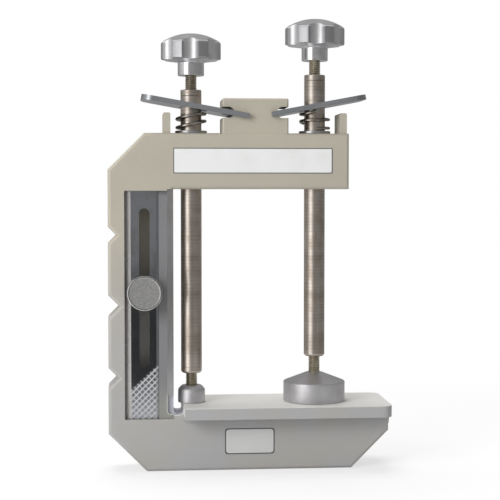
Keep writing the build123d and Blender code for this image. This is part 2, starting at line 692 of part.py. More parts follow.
for side, foot in ((LEFT, small_foot()), (RIGHT, wide_foot())):
    axis = Pos(side.x, 0, 0)
    tube_place = Pos(side.x, 0, side.tube_bottom)
    knob_place = Pos(side.x, 0, side.knob_bottom)
    save(Pos(side.x, 0, side.foot_bottom) * foot, f"foot_{side.name}")
    save(axis * foot_clip(side), f"foot_clip_{side.name}")
    save(axis * spindle_screw(side), f"spindle_screw_{side.name}")
    save(knob_place * star_knob(), f"star_knob_{side.name}")
    save(knob_place * knob_set_screw(), f"knob_set_screw_{side.name}")
    save(tube_place * clamp_tube(), f"clamp_tube_{side.name}")
    save(tube_place * tube_cap(), f"tube_cap_{side.name}")
    save(tube_place * tube_nut(), f"tube_nut_{side.name}")
    save(lever(side), f"lever_{side.name}")
    save(axis * lever_spring(side), f"lever_spring_{side.name}")
    save(axis * spring_washer(), f"spring_washer_{side.name}")
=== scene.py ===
"""Visual model of a C-frame corner clamp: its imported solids, dressed with fine pieces and finishes.

Sizes are in millimetres. A mesh turns into metres when its object is made.
"""

import logging
import math
from collections.abc import Mapping, Sequence
from dataclasses import dataclass, field
from enum import Enum
from typing import Any

import bmesh
import bpy
from mathutils import Matrix, Vector

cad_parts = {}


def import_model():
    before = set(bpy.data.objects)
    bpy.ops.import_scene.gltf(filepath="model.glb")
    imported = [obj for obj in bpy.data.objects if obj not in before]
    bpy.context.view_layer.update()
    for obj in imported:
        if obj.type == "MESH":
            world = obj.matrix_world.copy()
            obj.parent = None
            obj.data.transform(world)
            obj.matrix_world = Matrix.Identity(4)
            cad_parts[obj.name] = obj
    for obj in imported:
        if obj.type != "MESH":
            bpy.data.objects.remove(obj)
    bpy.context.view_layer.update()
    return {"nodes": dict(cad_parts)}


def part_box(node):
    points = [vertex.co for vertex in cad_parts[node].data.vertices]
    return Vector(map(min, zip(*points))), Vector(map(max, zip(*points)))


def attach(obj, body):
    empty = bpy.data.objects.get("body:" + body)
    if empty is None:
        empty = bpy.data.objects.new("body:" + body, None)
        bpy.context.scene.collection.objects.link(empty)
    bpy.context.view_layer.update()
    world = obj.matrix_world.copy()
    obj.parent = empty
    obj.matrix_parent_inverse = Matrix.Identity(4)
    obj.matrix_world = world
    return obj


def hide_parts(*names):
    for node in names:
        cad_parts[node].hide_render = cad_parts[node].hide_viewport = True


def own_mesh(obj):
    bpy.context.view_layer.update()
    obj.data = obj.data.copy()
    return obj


MM = 0.001
TINY = 1e-6
FULL_TURN = 2 * math.pi
SIDES = ("left", "right")

Colour = tuple[float, float, float, float]
Corner = tuple[float, float, float]
Profile = list[tuple[float, float]]

WHITE: Colour = (1.0, 1.0, 1.0, 1.0)

log = logging.getLogger("corner_clamp")


def tone(red: float, green: float, blue: float) -> Colour:
    """Turns a colour seen on a screen, each part from 0 to 255, into linear light with full alpha."""
    shares = [value / 255 for value in (red, green, blue)]
    return (*[share / 12.92 if share < 0.04 else ((share + 0.055) / 1.055) ** 2.4 for share in shares], 1.0)


class Wire:
    """A number on a node's socket, which takes part in ordinary arithmetic."""

    def __init__(self, graph: "Graph", socket: bpy.types.NodeSocket) -> None:
        """Keeps the socket and the graph that it belongs to."""
        self.graph = graph
        self.socket = socket

    def __add__(self, other: "Wire | float") -> "Wire":
        """Adds a wire or a number."""
        return self.graph.math("ADD", self, other)

    def __sub__(self, other: "Wire | float") -> "Wire":
        """Takes away a wire or a number."""
        return self.graph.math("SUBTRACT", self, other)

    def __rsub__(self, other: float) -> "Wire":
        """Takes this wire away from a number."""
        return self.graph.math("SUBTRACT", other, self)

    def __mul__(self, other: "Wire | float") -> "Wire":
        """Multiplies by a wire or a number."""
        return self.graph.math("MULTIPLY", self, other)

    def __truediv__(self, other: "Wire | float") -> "Wire":
        """Divides by a wire or a number."""
        return self.graph.math("DIVIDE", self, other)

    def __rtruediv__(self, other: float) -> "Wire":
        """Divides a number by this wire."""
        return self.graph.math("DIVIDE", other, self)

    def __neg__(self) -> "Wire":
        """Turns the sign round."""
        return self * -1.0

    def __abs__(self) -> "Wire":
        """Drops the sign."""
        return self.graph.math("ABSOLUTE", self)

    __radd__ = __add__
    __rmul__ = __mul__

    def above(self, limit: float) -> "Wire":
        """Gives 1 where the wire is greater than the limit, and 0 elsewhere."""
        return self.graph.math("GREATER_THAN", self, limit)

    def ramp(self, low: float, high: float) -> "Wire":
        """Runs smoothly from 0 at the low value to 1 at the high one."""
        return self.graph.wire("ShaderNodeMapRange", {"Value": self, "From Min": low, "From Max": high},
                               interpolation_type="SMOOTHSTEP")

    def past(self, limit: float, slack: float) -> "Wire":
        """Runs smoothly from 0 to 1 as the wire passes the limit."""
        return self.ramp(limit - slack, limit + slack)


class Graph:
    """A shader or geometry tree whose nodes all come from one method."""

    def __init__(self, tree: bpy.types.NodeTree) -> None:
        """Keeps the tree to build in."""
        self.tree = tree

    def node(self, kind: str, inputs: Mapping[str | int, Any] | None = None, **settings: Any) -> bpy.types.Node:
        """Adds one node.

        Args:
            kind: The node's type.
            inputs: Values, wires, sockets or nodes for its inputs; a node gives its first output.
            **settings: Properties of the node, set before its inputs.

        Returns:
            The new node.
        """
        node = self.tree.nodes.new(kind)
        for name, value in settings.items():
            setattr(node, name, value)
        for key, value in (inputs or {}).items():
            if isinstance(value, Wire):
                value = value.socket
            elif isinstance(value, bpy.types.Node):
                value = value.outputs[0]
            if isinstance(value, bpy.types.NodeSocket):
                self.tree.links.new(value, node.inputs[key])
            else:
                node.inputs[key].default_value = value
        return node

    def wire(self, kind: str, inputs: Mapping[str | int, Any], **settings: Any) -> Wire:
        """Adds one node and gives its first output as a number."""
        return Wire(self, self.node(kind, inputs, **settings).outputs[0])

    def math(self, operation: str, *values: Wire | float) -> Wire:
        """Adds a Math node on one to three numbers or wires."""
        return self.wire("ShaderNodeMath", dict(enumerate(values)), operation=operation)

    def length(self, x: Wire, y: Wire) -> Wire:
        """Gives the length of a step that goes x one way and y the other."""
        return self.math("SQRT", x * x + y * y)

    def vector(self, *parts: Wire | float) -> bpy.types.NodeSocket:
        """Puts three numbers together as a vector."""
        return self.node("ShaderNodeCombineXYZ", dict(enumerate(parts))).outputs[0]

    def parts(self, vector: Any) -> list[Wire]:
        """Takes a vector apart into three numbers."""
        return [Wire(self, socket) for socket in self.node("ShaderNodeSeparateXYZ", {0: vector}).outputs]

    def place(self) -> bpy.types.NodeSocket:
        """Gives the object's own coordinates, in metres."""
        return self.node("ShaderNodeTexCoord").outputs["Object"]

    def axes(self) -> list[Wire]:
        """Gives the object's own coordinates as three numbers, in millimetres."""
        return [part / MM for part in self.parts(self.place())]

    def noise(self, size: float, detail: float = 2.0, where: bpy.types.NodeSocket | None = None) -> Wire:
        """Adds a noise pattern from 0 to 1.

        Args:
            size: The size of its spots in millimetres.
            detail: How many finer layers it has.
            where: The coordinates to read in metres, or none for the object's own.

        Returns:
            The pattern.
        """
        where = self.place() if where is None else where
        return self.wire("ShaderNodeTexNoise", {"Vector": where, "Scale": 1 / (size * MM), "Detail": detail})

    def mix(self, share: Wire | float, first: Any, second: Any) -> bpy.types.NodeSocket:
        """Mixes two colours by the second one's share, from 0 to 1."""
        return self.node("ShaderNodeMix", {0: share, 6: first, 7: second}, data_type="RGBA").outputs[2]

    def bump(self, height: Wire, depth: float, strength: float = 1.0) -> bpy.types.NodeSocket:
        """Dents the normal by a height from 0 to 1, whose depth is in millimetres."""
        return self.node("ShaderNodeBump", {"Strength": strength, "Distance": depth * MM, "Height": height}).outputs[0]

    def end(self, kind: str, shader: bpy.types.Node) -> None:
        """Sends a shader to the output of a material or a world."""
        self.node(f"ShaderNodeOutput{kind}", {"Surface": shader})


def bare_graph(owner: bpy.types.Material | bpy.types.World) -> Graph:
    """Gives the emptied tree of a material or a world.

    Args:
        owner: The material or world.

    Returns:
        The tree to build in.
    """
    owner.use_nodes = True
    owner.node_tree.nodes.clear()
    return Graph(owner.node_tree)


class Grain(Enum):
    """Which way a tool or a polishing belt left its fine marks, as the stretch of the noise."""

    EVEN = (1.0, 1.0, 1.0)
    ALONG_X = (0.03, 1.0, 1.0)
    ALONG_Z = (1.0, 1.0, 0.03)
    RINGS = (0.02, 0.02, 1.0)


@dataclass(frozen=True)
class Finish:
    """A surface finish, which makes its material the first time that it is asked for."""

    slot: str
    title: str

    def material(self) -> bpy.types.Material:
        """Makes or finds the finish's one material.

        Returns:
            The material.
        """
        ready = bpy.data.materials.get(self.title)
        if ready is None:
            ready = bpy.data.materials.new(self.title)
            graph = bare_graph(ready)
            graph.end("Material", graph.node("ShaderNodeBsdfPrincipled", self.sockets(graph)))
        return ready

    def sockets(self, graph: Graph) -> dict[str, Any]:
        """Gives the values and wires of the shader's sockets by name."""
        raise NotImplementedError


@dataclass(frozen=True)
class CastPaint(Finish):
    """Sprayed enamel on a casting: soft orange peel, faint clouds, a few specks of dust, and painted light that shifts
    its tone with height.
    """

    body: Colour = tone(182, 175, 160)
    low_painted_light_tone: Colour = tone(171, 171, 173)
    cloud: Colour = tone(172, 167, 154)
    dust: Colour = tone(140, 137, 127)
    low_height: float = 60.0
    high_height: float = 230.0
    cloud_size: float = 38.0
    peel_size: float = 2.2
    peel_depth: float = 0.10
    speck_size: float = 1.5
    roughness: float = 0.42
    cloud_share: float = 0.5
    dust_share: float = 0.35

    def sockets(self, graph: Graph) -> dict[str, Any]:
        """Gives the shader's sockets.

        Args:
            graph: The tree to build patterns in.

        Returns:
            Socket values by name.
        """
        cloud = graph.noise(self.cloud_size, 3.0)
        peel = graph.noise(self.peel_size)
        speck = graph.noise(self.speck_size, 1.0).ramp(0.70, 0.78)
        height = graph.axes()[2]
        # Painted light: the colour blends from the low tone to the body tone with height, standing in for light that
        # differs between low down and high up.
        body = graph.mix(height.ramp(self.low_height, self.high_height), self.low_painted_light_tone, self.body)
        clouded = graph.mix(cloud.ramp(0.3, 0.7) * self.cloud_share, body, self.cloud)
        return {
            "Base Color": graph.mix(speck * self.dust_share, clouded, self.dust),
            "Roughness": self.roughness + cloud * 0.10 + peel * 0.06,
            "Specular IOR Level": 0.5,
            "Normal": graph.bump(peel, self.peel_depth, 0.5),
        }


@dataclass(frozen=True)
class FramePaint(CastPaint):
    """The frame's enamel, with a painted highlight on the anvil's table and along the rim of the relief pocket."""

    painted_highlight_tone: Colour = tone(216, 215, 211)
    anvil_height: float = 55.2
    anvil_left: float = -55.5
    pocket_left: float = -68.5
    pocket_floor: float = 47.0
    pocket_corner: float = 3.0
    front: float = -17.3
    rim: float = 0.7
    rim_height: float = 8.0

    def wear_and_highlight(self, graph: Graph) -> Wire:
        """Gives the share of the painted highlight.

        Args:
            graph: The tree to build patterns in.

        Returns:
            1 on the anvil's table and along the pocket's rim, and 0 elsewhere.
        """
        x, y, z = graph.axes()
        # Painted highlight on the anvil's table and its front edge, where light falls from above.
        table = z.ramp(self.anvil_height - 0.7, self.anvil_height - 0.1)
        table = table * x.ramp(self.anvil_left, self.anvil_left + 0.5) * (1.0 - z.above(self.anvil_height + 1.0))
        # Painted highlight along the rim of the relief pocket on the front face.
        reach = (self.anvil_left - self.pocket_left) / 2 - self.pocket_corner
        across = abs(x - (self.anvil_left + self.pocket_left) / 2) - reach
        down = (self.pocket_floor + self.pocket_corner) - z
        side, below = (graph.math("MAXIMUM", part, 0.0) for part in (across, down))
        inside = graph.math("MINIMUM", graph.math("MAXIMUM", across, down), 0.0)
        distance = graph.length(side, below) + inside - self.pocket_corner
        rim = (1.0 - abs(distance).ramp(self.rim * 0.5, self.rim)) * (1.0 - y.above(self.front))
        return graph.math("MAXIMUM", table, rim * (1.0 - z.above(self.anvil_height + self.rim_height)))

    def sockets(self, graph: Graph) -> dict[str, Any]:
        """Gives the enamel's sockets with its colour lightened by the painted highlight."""
        plain = super().sockets(graph)
        return {**plain, "Base Color": graph.mix(self.wear_and_highlight(graph), plain["Base Color"], self.painted_highlight_tone)}


@dataclass(frozen=True)
class MarkedMetal(Finish):
    """Bare metal with fine tool marks one way and broad, faint stains."""

    body: Colour = tone(190, 190, 192)
    stain: Colour = tone(170, 168, 166)
    grain: Grain = Grain.EVEN
    mark_size: float = 0.6
    mark_depth: float = 0.02
    stain_size: float = 16.0
    smooth: float = 0.22
    rough: float = 0.36

    def marks(self, graph: Graph) -> Wire:
        """Gives the tool marks' height, from 0 to 1."""
        stretched = graph.node("ShaderNodeMapping", {"Vector": graph.place(), "Scale": self.grain.value})
        return graph.noise(self.mark_size, 3.0, stretched.outputs[0])

    def gloss(self, marks: Wire) -> Wire:
        """Gives the roughness that the tool marks leave."""
        return self.smooth + marks * (self.rough - self.smooth)

    def sockets(self, graph: Graph) -> dict[str, Any]:
        """Gives the shader's sockets.

        Args:
            graph: The tree to build patterns in.

        Returns:
            Socket values by name.
        """
        marks = self.marks(graph)
        stains = graph.noise(self.stain_size, 3.0).ramp(0.35, 0.7)
        return {
            "Base Color": graph.mix(stains, self.body, self.stain),
            "Metallic": 1.0,
            "Roughness": self.gloss(marks) + stains * 0.05,
            "Normal": graph.bump(marks, self.mark_depth),
        }


@dataclass(frozen=True)
class TubeSteel(MarkedMetal):
    """Turned and rubbed tube steel: feed rings, a brownish bloom and darker rubbed bands."""

    bloom: Colour = tone(150, 132, 112)
    ring_tone: Colour = tone(112, 106, 100)
    ring_pitch: float = 2.9
    ring_depth: float = 0.008
    wander_size: float = 14.0
    patch_size: float = 9.0
    band_size: float = 30.0
    bloom_size: float = 11.0

    def sockets(self, graph: Graph) -> dict[str, Any]:
        """Gives the shader's sockets.

        Args:
            graph: The tree to build patterns in.

        Returns:
            Socket values by name.
        """
        z = graph.axes()[2]
        marks = self.marks(graph)
        along = graph.vector(0.0, 0.0, z * MM)
        wander = graph.noise(self.wander_size, 2.0, along)
        ring = graph.math("SINE", (z + wander * 5.0) * (FULL_TURN / self.ring_pitch)).ramp(0.55, 1.0)
        ring = ring * graph.noise(self.patch_size).ramp(0.35, 0.6)
        bands = graph.noise(self.band_size, 2.0, along).ramp(0.45, 0.62)
        bloom = graph.noise(self.bloom_size, 4.0).ramp(0.42, 0.68)
        metal = graph.mix(bands * 0.5, self.body, self.stain)
        metal = graph.mix(bloom * 0.4, metal, self.bloom)
        return {
            "Base Color": graph.mix(ring * 0.27, metal, self.ring_tone),
            "Metallic": 1.0,
            "Roughness": self.gloss(marks) + bloom * 0.06 + ring * 0.08,
            "Normal": graph.bump(marks * 0.2 + ring, self.ring_depth),
        }


@dataclass(frozen=True)
class RingedFace(MarkedMetal):
    """A face turned about a line from front to back: rings that follow the distance from that line."""

    middle_x: float = 0.0
    middle_z: float = 0.0
    rim_radius: float = 12.8
    spot_size: float = 1.6

    def sockets(self, graph: Graph) -> dict[str, Any]:
        """Gives the shader's sockets.

        Args:
            graph: The tree to build patterns in.

        Returns:
            Socket values by name.
        """
        x, y, z = graph.axes()
        radius = graph.length(x - self.middle_x, z - self.middle_z)
        rings = graph.noise(self.mark_size, 3.0, graph.vector(radius * MM, y * (0.2 * MM), 0.0))
        spots = graph.noise(self.spot_size, 3.0)
        bright = radius.past(self.rim_radius, 0.4)
        return {
            "Base Color": graph.mix(spots.ramp(0.3, 0.7), self.body, self.stain),
            "Metallic": 1.0,
            "Roughness": self.rough + spots * 0.12 - bright * (self.rough - self.smooth),
            "Normal": graph.bump(rings + spots * 0.5, self.mark_depth),
        }


@dataclass(frozen=True)
class StarMetal(MarkedMetal):
    """A star knob's metal: painted shade on its lobes, and a painted highlight on the rim where wall and dome meet."""

    middle_x: float = 0.0
    rim_height: float = 360.0
    rim_radius: float = 22.5
    rim_highlight_share: float = 0.5
    lobe_shade_from: float = 21.8
    lobe_shade_to: float = 24.0
    lobe_painted_shade: Colour = tone(188, 188, 192)
    rim_painted_highlight: Colour = tone(248, 248, 246)

    def sockets(self, graph: Graph) -> dict[str, Any]:
        """Gives the shader's sockets.

        Args:
            graph: The tree to build patterns in.

        Returns:
            Socket values by name.
        """
        plain = super().sockets(graph)
        x, y, z = graph.axes()
        radius = graph.length(x - self.middle_x, y)
        # Painted highlight: a bright, less metallic ring where the wall meets the dome.
        rim = (1.0 - abs(z - self.rim_height).ramp(0.2, 0.8)) * radius.past(self.rim_radius, 0.5) * self.rim_highlight_share
        # Painted shade: the lobes darken outwards, while the flutes between them stay bright.
        lobe = radius.ramp(self.lobe_shade_from, self.lobe_shade_to) * (1.0 - rim)
        body = graph.mix(lobe, plain["Base Color"], self.lobe_painted_shade)
        return {**plain, "Base Color": graph.mix(rim, body, self.rim_painted_highlight), "Metallic": 1.0 - rim * 0.45}


@dataclass(frozen=True)
class PlateMirror(MarkedMetal):
    """The slotted plate's polished face with a scribed crosshatch over its lower end and a painted reflection on its
    left bevel.
    """

    left: float = -98.4
    right: float = -75.6
    bottom: float = 43.7
    behind: float = -13.0
    slant_start: float = 68.2
    slant: float = 0.92
    pitch: float = 3.6
    line: float = 0.20
    scribed: Colour = tone(206, 206, 208)
    ground: Colour = tone(168, 170, 176)
    bevel_painted_reflection: Colour = tone(176, 168, 162)
    bevel_reflection_share: float = 0.6
    smear_size: float = 12.0

    def lines(self, graph: Graph, distance: Wire, width: float) -> Wire:
        """Gives evenly spaced lines.

        Args:
            graph: The tree to build in.
            distance: The distance across the lines, in millimetres.
            width: Half a line's width as a share of the pitch.

        Returns:
            1 on a line and 0 between lines.
        """
        off = abs(graph.math("FRACT", distance * math.sqrt(0.5) / self.pitch) - 0.5) * 2.0
        return off.ramp(1.0 - 2 * width - 0.16, 1.0 - 2 * width + 0.10)

    def sockets(self, graph: Graph) -> dict[str, Any]:
        """Gives the shader's sockets.

        Args:
            graph: The tree to build patterns in.

        Returns:
            Socket values by name.
        """
        x, y, z = graph.axes()
        marks = self.marks(graph)
        smear = graph.noise(self.smear_size, 3.0).ramp(0.4, 0.75)
        slanted = (z - (x - self.left) * self.slant).past(self.slant_start, 0.6)
        pad = (x.past(self.left, 0.3) * (1.0 - x.past(self.right, 0.3)) * z.past(self.bottom, 0.3)
               * (1.0 - slanted) * (1.0 - y.past(self.behind, 0.2)))
        rising = self.lines(graph, z - x, self.line / 2)
        falling = self.lines(graph, z + x, self.line / 3)
        hatch = graph.math("MAXIMUM", rising, falling * 0.75)
        # Painted reflection: the left bevel turns pinkish and less metallic, standing in for the painted wall that it
        # mirrors.
        bevel_reflection = (1.0 - x.ramp(self.left - 0.4, self.left - 0.2)) * self.bevel_reflection_share
        plain = graph.mix(smear * 0.6, self.body, self.stain)
        face = graph.mix(pad, plain, graph.mix(hatch, self.ground, self.scribed))
        return {
            "Base Color": graph.mix(bevel_reflection, face, self.bevel_painted_reflection),
            "Metallic": 1.0 - pad * hatch * 0.8 - bevel_reflection,
            "Roughness": self.gloss(marks) + smear * 0.06 + pad * (0.12 + hatch * 0.3) + bevel_reflection * 0.3,
            "Normal": graph.bump(marks * self.mark_depth + pad * hatch * 0.1, 1.0),
        }


@dataclass(frozen=True)
class LabelFilm(Finish):
    """Printed film of a label plate, plain and a little glossy."""

    colour: Colour = tone(236, 236, 236)
    wear_and_highlight: Colour = tone(222, 222, 220)
    wear_size: float = 24.0
    ripple_size: float = 3.0

    def sockets(self, graph: Graph) -> dict[str, Any]:
        """Gives the shader's sockets.

        Args:
            graph: The tree to build patterns in.

        Returns:
            Socket values by name.
        """
        wear = graph.noise(self.wear_size, 3.0)
        return {
            "Base Color": graph.mix(wear.ramp(0.4, 0.8) * 0.5, self.colour, self.wear_and_highlight),
            "Roughness": 0.28 + wear * 0.12,
            "Normal": graph.bump(graph.noise(self.ripple_size), 0.02, 0.4),
        }


CASTING_PAINT = FramePaint("casting_paint", "enamel_on_casting")
# The same enamel painted darker as painted shade in the recess, with painted light making it lighter towards the
# recess's bottom.
RECESS_PAINTED_SHADE = FramePaint("casting_paint", "enamel_with_painted_shade", tone(128, 128, 130), tone(158, 158, 150),
                          tone(120, 121, 122), tone(104, 104, 104), 44.0, 78.0, 26.0, 2.0, 0.06, 1.3, 0.34,
                          painted_highlight_tone=tone(206, 205, 200), front=-8.0)
# The relief pocket's bare machined face, lighter and bluer than the enamel; its brightness is partly painted light
# from above.
POCKET_PAINT = CastPaint("casting_paint", "bare_pocket_with_painted_light", tone(196, 197, 206), tone(190, 191, 200),
                         tone(180, 182, 190), tone(150, 150, 156), 44.0, 60.0, 12.0, 1.5, 0.05, 1.2, 0.30)
PLATE_MIRROR = PlateMirror("mirror_steel", "polished_plate", tone(168, 172, 178), tone(150, 152, 155),
                           Grain.ALONG_Z, 0.5, 0.003, smooth=0.05, rough=0.12)
FENCE_STEEL = MarkedMetal("fence_steel", "ground_fence", tone(206, 206, 208), tone(186, 185, 184),
                          Grain.ALONG_Z, 0.4, 0.015, 20.0, 0.24, 0.36)
TUBE_STEEL = TubeSteel("tube_steel", "turned_tube", tone(196, 188, 180), tone(152, 143, 134),
                       Grain.RINGS, 0.35, smooth=0.26, rough=0.38)
SCREW_STEEL = MarkedMetal("bronzed_steel", "oiled_thread", tone(192, 185, 168), tone(166, 157, 138),
                          Grain.RINGS, 0.8, 0.004, 8.0, 0.24, 0.36)
HUB_METAL = MarkedMetal("polished_aluminium", "turned_hub", tone(228, 228, 231), tone(212, 213, 216),
                        Grain.RINGS, 0.4, 0.006, 9.0, 0.12, 0.22)
FOOT_METAL = MarkedMetal("cast_aluminium", "turned_foot", tone(206, 205, 208), tone(193, 192, 195),
                         Grain.RINGS, 0.3, 0.012, 16.0, 0.38, 0.52)
LEVER_STEEL = MarkedMetal("lever_steel", "polished_lever", tone(184, 188, 193), tone(168, 171, 176),
                          Grain.ALONG_X, 0.5, 0.006, 30.0, 0.12, 0.24)
SPRING_STEEL = MarkedMetal("spring_steel", "bright_spring", tone(178, 174, 168), tone(140, 132, 124),
                           Grain.RINGS, 0.5, 0.006, 7.0, 0.16, 0.28)
ZINC_STEEL = MarkedMetal("zinc_steel", "zinc_plated", tone(192, 193, 198), tone(176, 174, 172),
                         Grain.EVEN, 0.7, 0.01, 8.0, 0.24, 0.38)
LABEL_FILM = LabelFilm("casting_paint", "label_film")
LABEL_SILVER = LabelFilm("casting_paint", "label_silver", tone(206, 206, 204), tone(190, 190, 188))
LABEL_RIM = LabelFilm("casting_paint", "label_rim", tone(74, 76, 80), tone(88, 90, 92))


def softened(corners: Sequence[Corner], steps: int = 4, loop: bool = False) -> Profile:
    """Rounds the corners of a path.

    Args:
        corners: Points with the length that each corner loses on both of its sides.
        steps: Short runs in each rounded corner.
        loop: Whether the path closes on itself.

    Returns:
        The path's points.
    """
    path: Profile = []
    last = len(corners) - 1
    for index, (u, v, cut) in enumerate(corners):
        if cut <= 0 or not (loop or 0 < index < last):
            path.append((u, v))
            continue
        corner = Vector((u, v))
        before, after = (Vector(corners[near % len(corners)][:2]) for near in (index - 1, index + 1))
        start = corner + (before - corner).normalized() * cut
        end = corner + (after - corner).normalized() * cut
        for step in range(steps + 1):
            share = step / steps
            path.append(tuple(start.lerp(corner, share).lerp(corner.lerp(end, share), share)))
    return path


def even_angles(count: int) -> list[float]:
    """Gives evenly spaced angles of a full turn."""
    return [FULL_TURN * index / count for index in range(count)]


def rings(profile: Profile, place: Matrix, angles: Sequence[float]) -> list[list[Vector]]:
    """Gives the rings of points of a turned body.

    Args:
        profile: Points of (radius, height); a radius of 0 gives a ring of one point.
        place: Where the body goes.
        angles: The angles of each ring's points.

    Returns:
        The rings.
    """
    made = []
    for radius, height in profile:
        used = angles if radius > TINY else angles[:1]
        made.append([place @ Vector((radius * math.cos(a), radius * math.sin(a), height)) for a in used])
    return made


class Shape:
    """A mesh in millimetres, built from rings, which becomes one object."""

    def __init__(self) -> None:
        """Starts with no faces."""
        self.mesh = bmesh.new()
        self.finish_index = 0

    def skin(self, rows: Sequence[Sequence[Vector]], loop: bool = False) -> "Shape":
        """Joins rings of points.

        Args:
            rows: Rings with the same number of points; a ring of one point closes an end.
            loop: Whether the last ring joins the first.

        Returns:
            The shape itself.
        """
        made = [[self.mesh.verts.new(point) for point in row] for row in rows]
        for lower, upper in zip(made, made[1:] + made[:1] if loop else made[1:]):
            count = max(len(lower), len(upper))
            for index in range(count):
                after = (index + 1) % count
                corners = [lower[index % len(lower)], lower[after % len(lower)],
                           upper[after % len(upper)], upper[index % len(upper)]]
                face = self.mesh.faces.new(list(dict.fromkeys(corners)))
                face.material_index = self.finish_index
        return self

    def turn(self, profile: Profile, place: Matrix, segments: int = 96, loop: bool = False) -> "Shape":
        """Turns a profile of (radius, height) about the upright line of a place."""
        return self.skin(rings(profile, place, even_angles(segments)), loop)

    def plate(self, outline: Sequence[Vector], depth: Vector, rim: float) -> "Shape":
        """Adds a thin plate with a rim in a finish of its own.

        Args:
            outline: The front outline.
            depth: From the front face to the back one.
            rim: The rim's width.

        Returns:
            The shape itself.
        """
        middle = sum(outline, Vector()) / len(outline)
        inner = []
        for point in outline:
            away = point - middle
            inner.append(point - Vector((math.copysign(rim, away.x), 0.0, math.copysign(rim, away.z))))
        self.finish_index = 1
        self.skin([[point + depth for point in outline], outline, inner])
        self.mesh.faces.new([self.mesh.verts.new(point) for point in inner])
        return self

    def copy(self, source: bpy.types.Object, flatness: float = 0.6) -> "Shape":
        """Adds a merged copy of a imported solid.

        Args:
            source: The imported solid's object.
            flatness: Faces that differ by fewer degrees become one.

        Returns:
            The shape itself.
        """
        self.mesh.from_mesh(source.data)
        bmesh.ops.scale(self.mesh, vec=(1 / MM,) * 3, verts=self.mesh.verts)
        bmesh.ops.remove_doubles(self.mesh, verts=self.mesh.verts, dist=0.0005)
        bmesh.ops.dissolve_limit(self.mesh, angle_limit=math.radians(flatness),
                                 verts=self.mesh.verts, edges=self.mesh.edges)
        return self

    def object(self, name: str, crease: float = 32.0, recalculate: bool = True) -> bpy.types.Object:
        """Makes the object.

        Args:
            name: The piece's name.
            crease: Edges sharper than this many degrees stay crisp.
            recalculate: Whether to turn all faces outwards.

        Returns:
            The object at the origin with its place in its mesh.
        """
        bmesh.ops.remove_doubles(self.mesh, verts=self.mesh.verts, dist=0.0002)
        if recalculate:
            bmesh.ops.recalc_face_normals(self.mesh, faces=self.mesh.faces)
        bmesh.ops.scale(self.mesh, vec=(MM,) * 3, verts=self.mesh.verts)
        data = bpy.data.meshes.new(name)
        self.mesh.to_mesh(data)
        self.mesh.free()
        return as_object(name, data, crease)


def as_object(name: str, data: bpy.types.Mesh, crease: float = 32.0) -> bpy.types.Object:
    """Links a mesh as a piece with smooth faces and crisp edges.

    Args:
        name: The piece's name.
        data: Its mesh.
        crease: Edges sharper than this many degrees stay crisp.

    Returns:
        The linked object.
    """
    data.shade_smooth()
    data.set_sharp_from_angle(angle=math.radians(crease))
    piece = bpy.data.objects.new(name, data)
    bpy.context.scene.collection.objects.link(piece)
    return piece


def turned(name: str, corners: Sequence[Corner], place: Matrix, segments: int = 96, steps: int = 4,
           loop: bool = True) -> bpy.types.Object:
    """Makes a piece by turning a path with rounded corners about an upright line."""
    return Shape().turn(softened(corners, steps, loop), place, segments, loop).object(name)


def eased(piece: bpy.types.Object, width: float, angle: float = 35.0, steps: int = 2) -> None:
    """Eases the sharp edges of a piece with a small bevel.

    Args:
        piece: The piece.
        width: The bevel's width.
        angle: Edges sharper than this many degrees are eased.
        steps: Faces across the bevel.
    """
    bevel = piece.modifiers.new("eased_edges", "BEVEL")
    bevel.width = width * MM
    bevel.segments = steps
    bevel.limit_method = "ANGLE"
    bevel.angle_limit = math.radians(angle)
    bevel.harden_normals = False
    piece.modifiers.new("even_normals", "WEIGHTED_NORMAL").keep_sharp = True


def fit(piece: bpy.types.Object, body: str, finishes: Sequence[Finish], *nodes: str) -> None:
    """Dresses a piece, makes it ride with its body and reports it.

    Args:
        piece: The piece.
        body: The body that it moves with.
        finishes: Its finishes, in the order of its faces' numbers.
        *nodes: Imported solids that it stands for.
    """
    if not piece.data.materials:
        for finish in finishes:
            piece.data.materials.append(finish.material())
    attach(piece, body)
    if nodes:
        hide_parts(*nodes)
    log.info("%s rides on %s with %d faces", piece.name, body, len(piece.data.polygons))


def dress(node: bpy.types.Object, finish: Finish) -> None:
    """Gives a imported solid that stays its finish, and reports it.

    Args:
        node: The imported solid's object.
        finish: Its finish.
    """
    for slot in node.material_slots:
        slot.material = finish.material()
    log.info("%s keeps its solid in %s", node.name, finish.title)


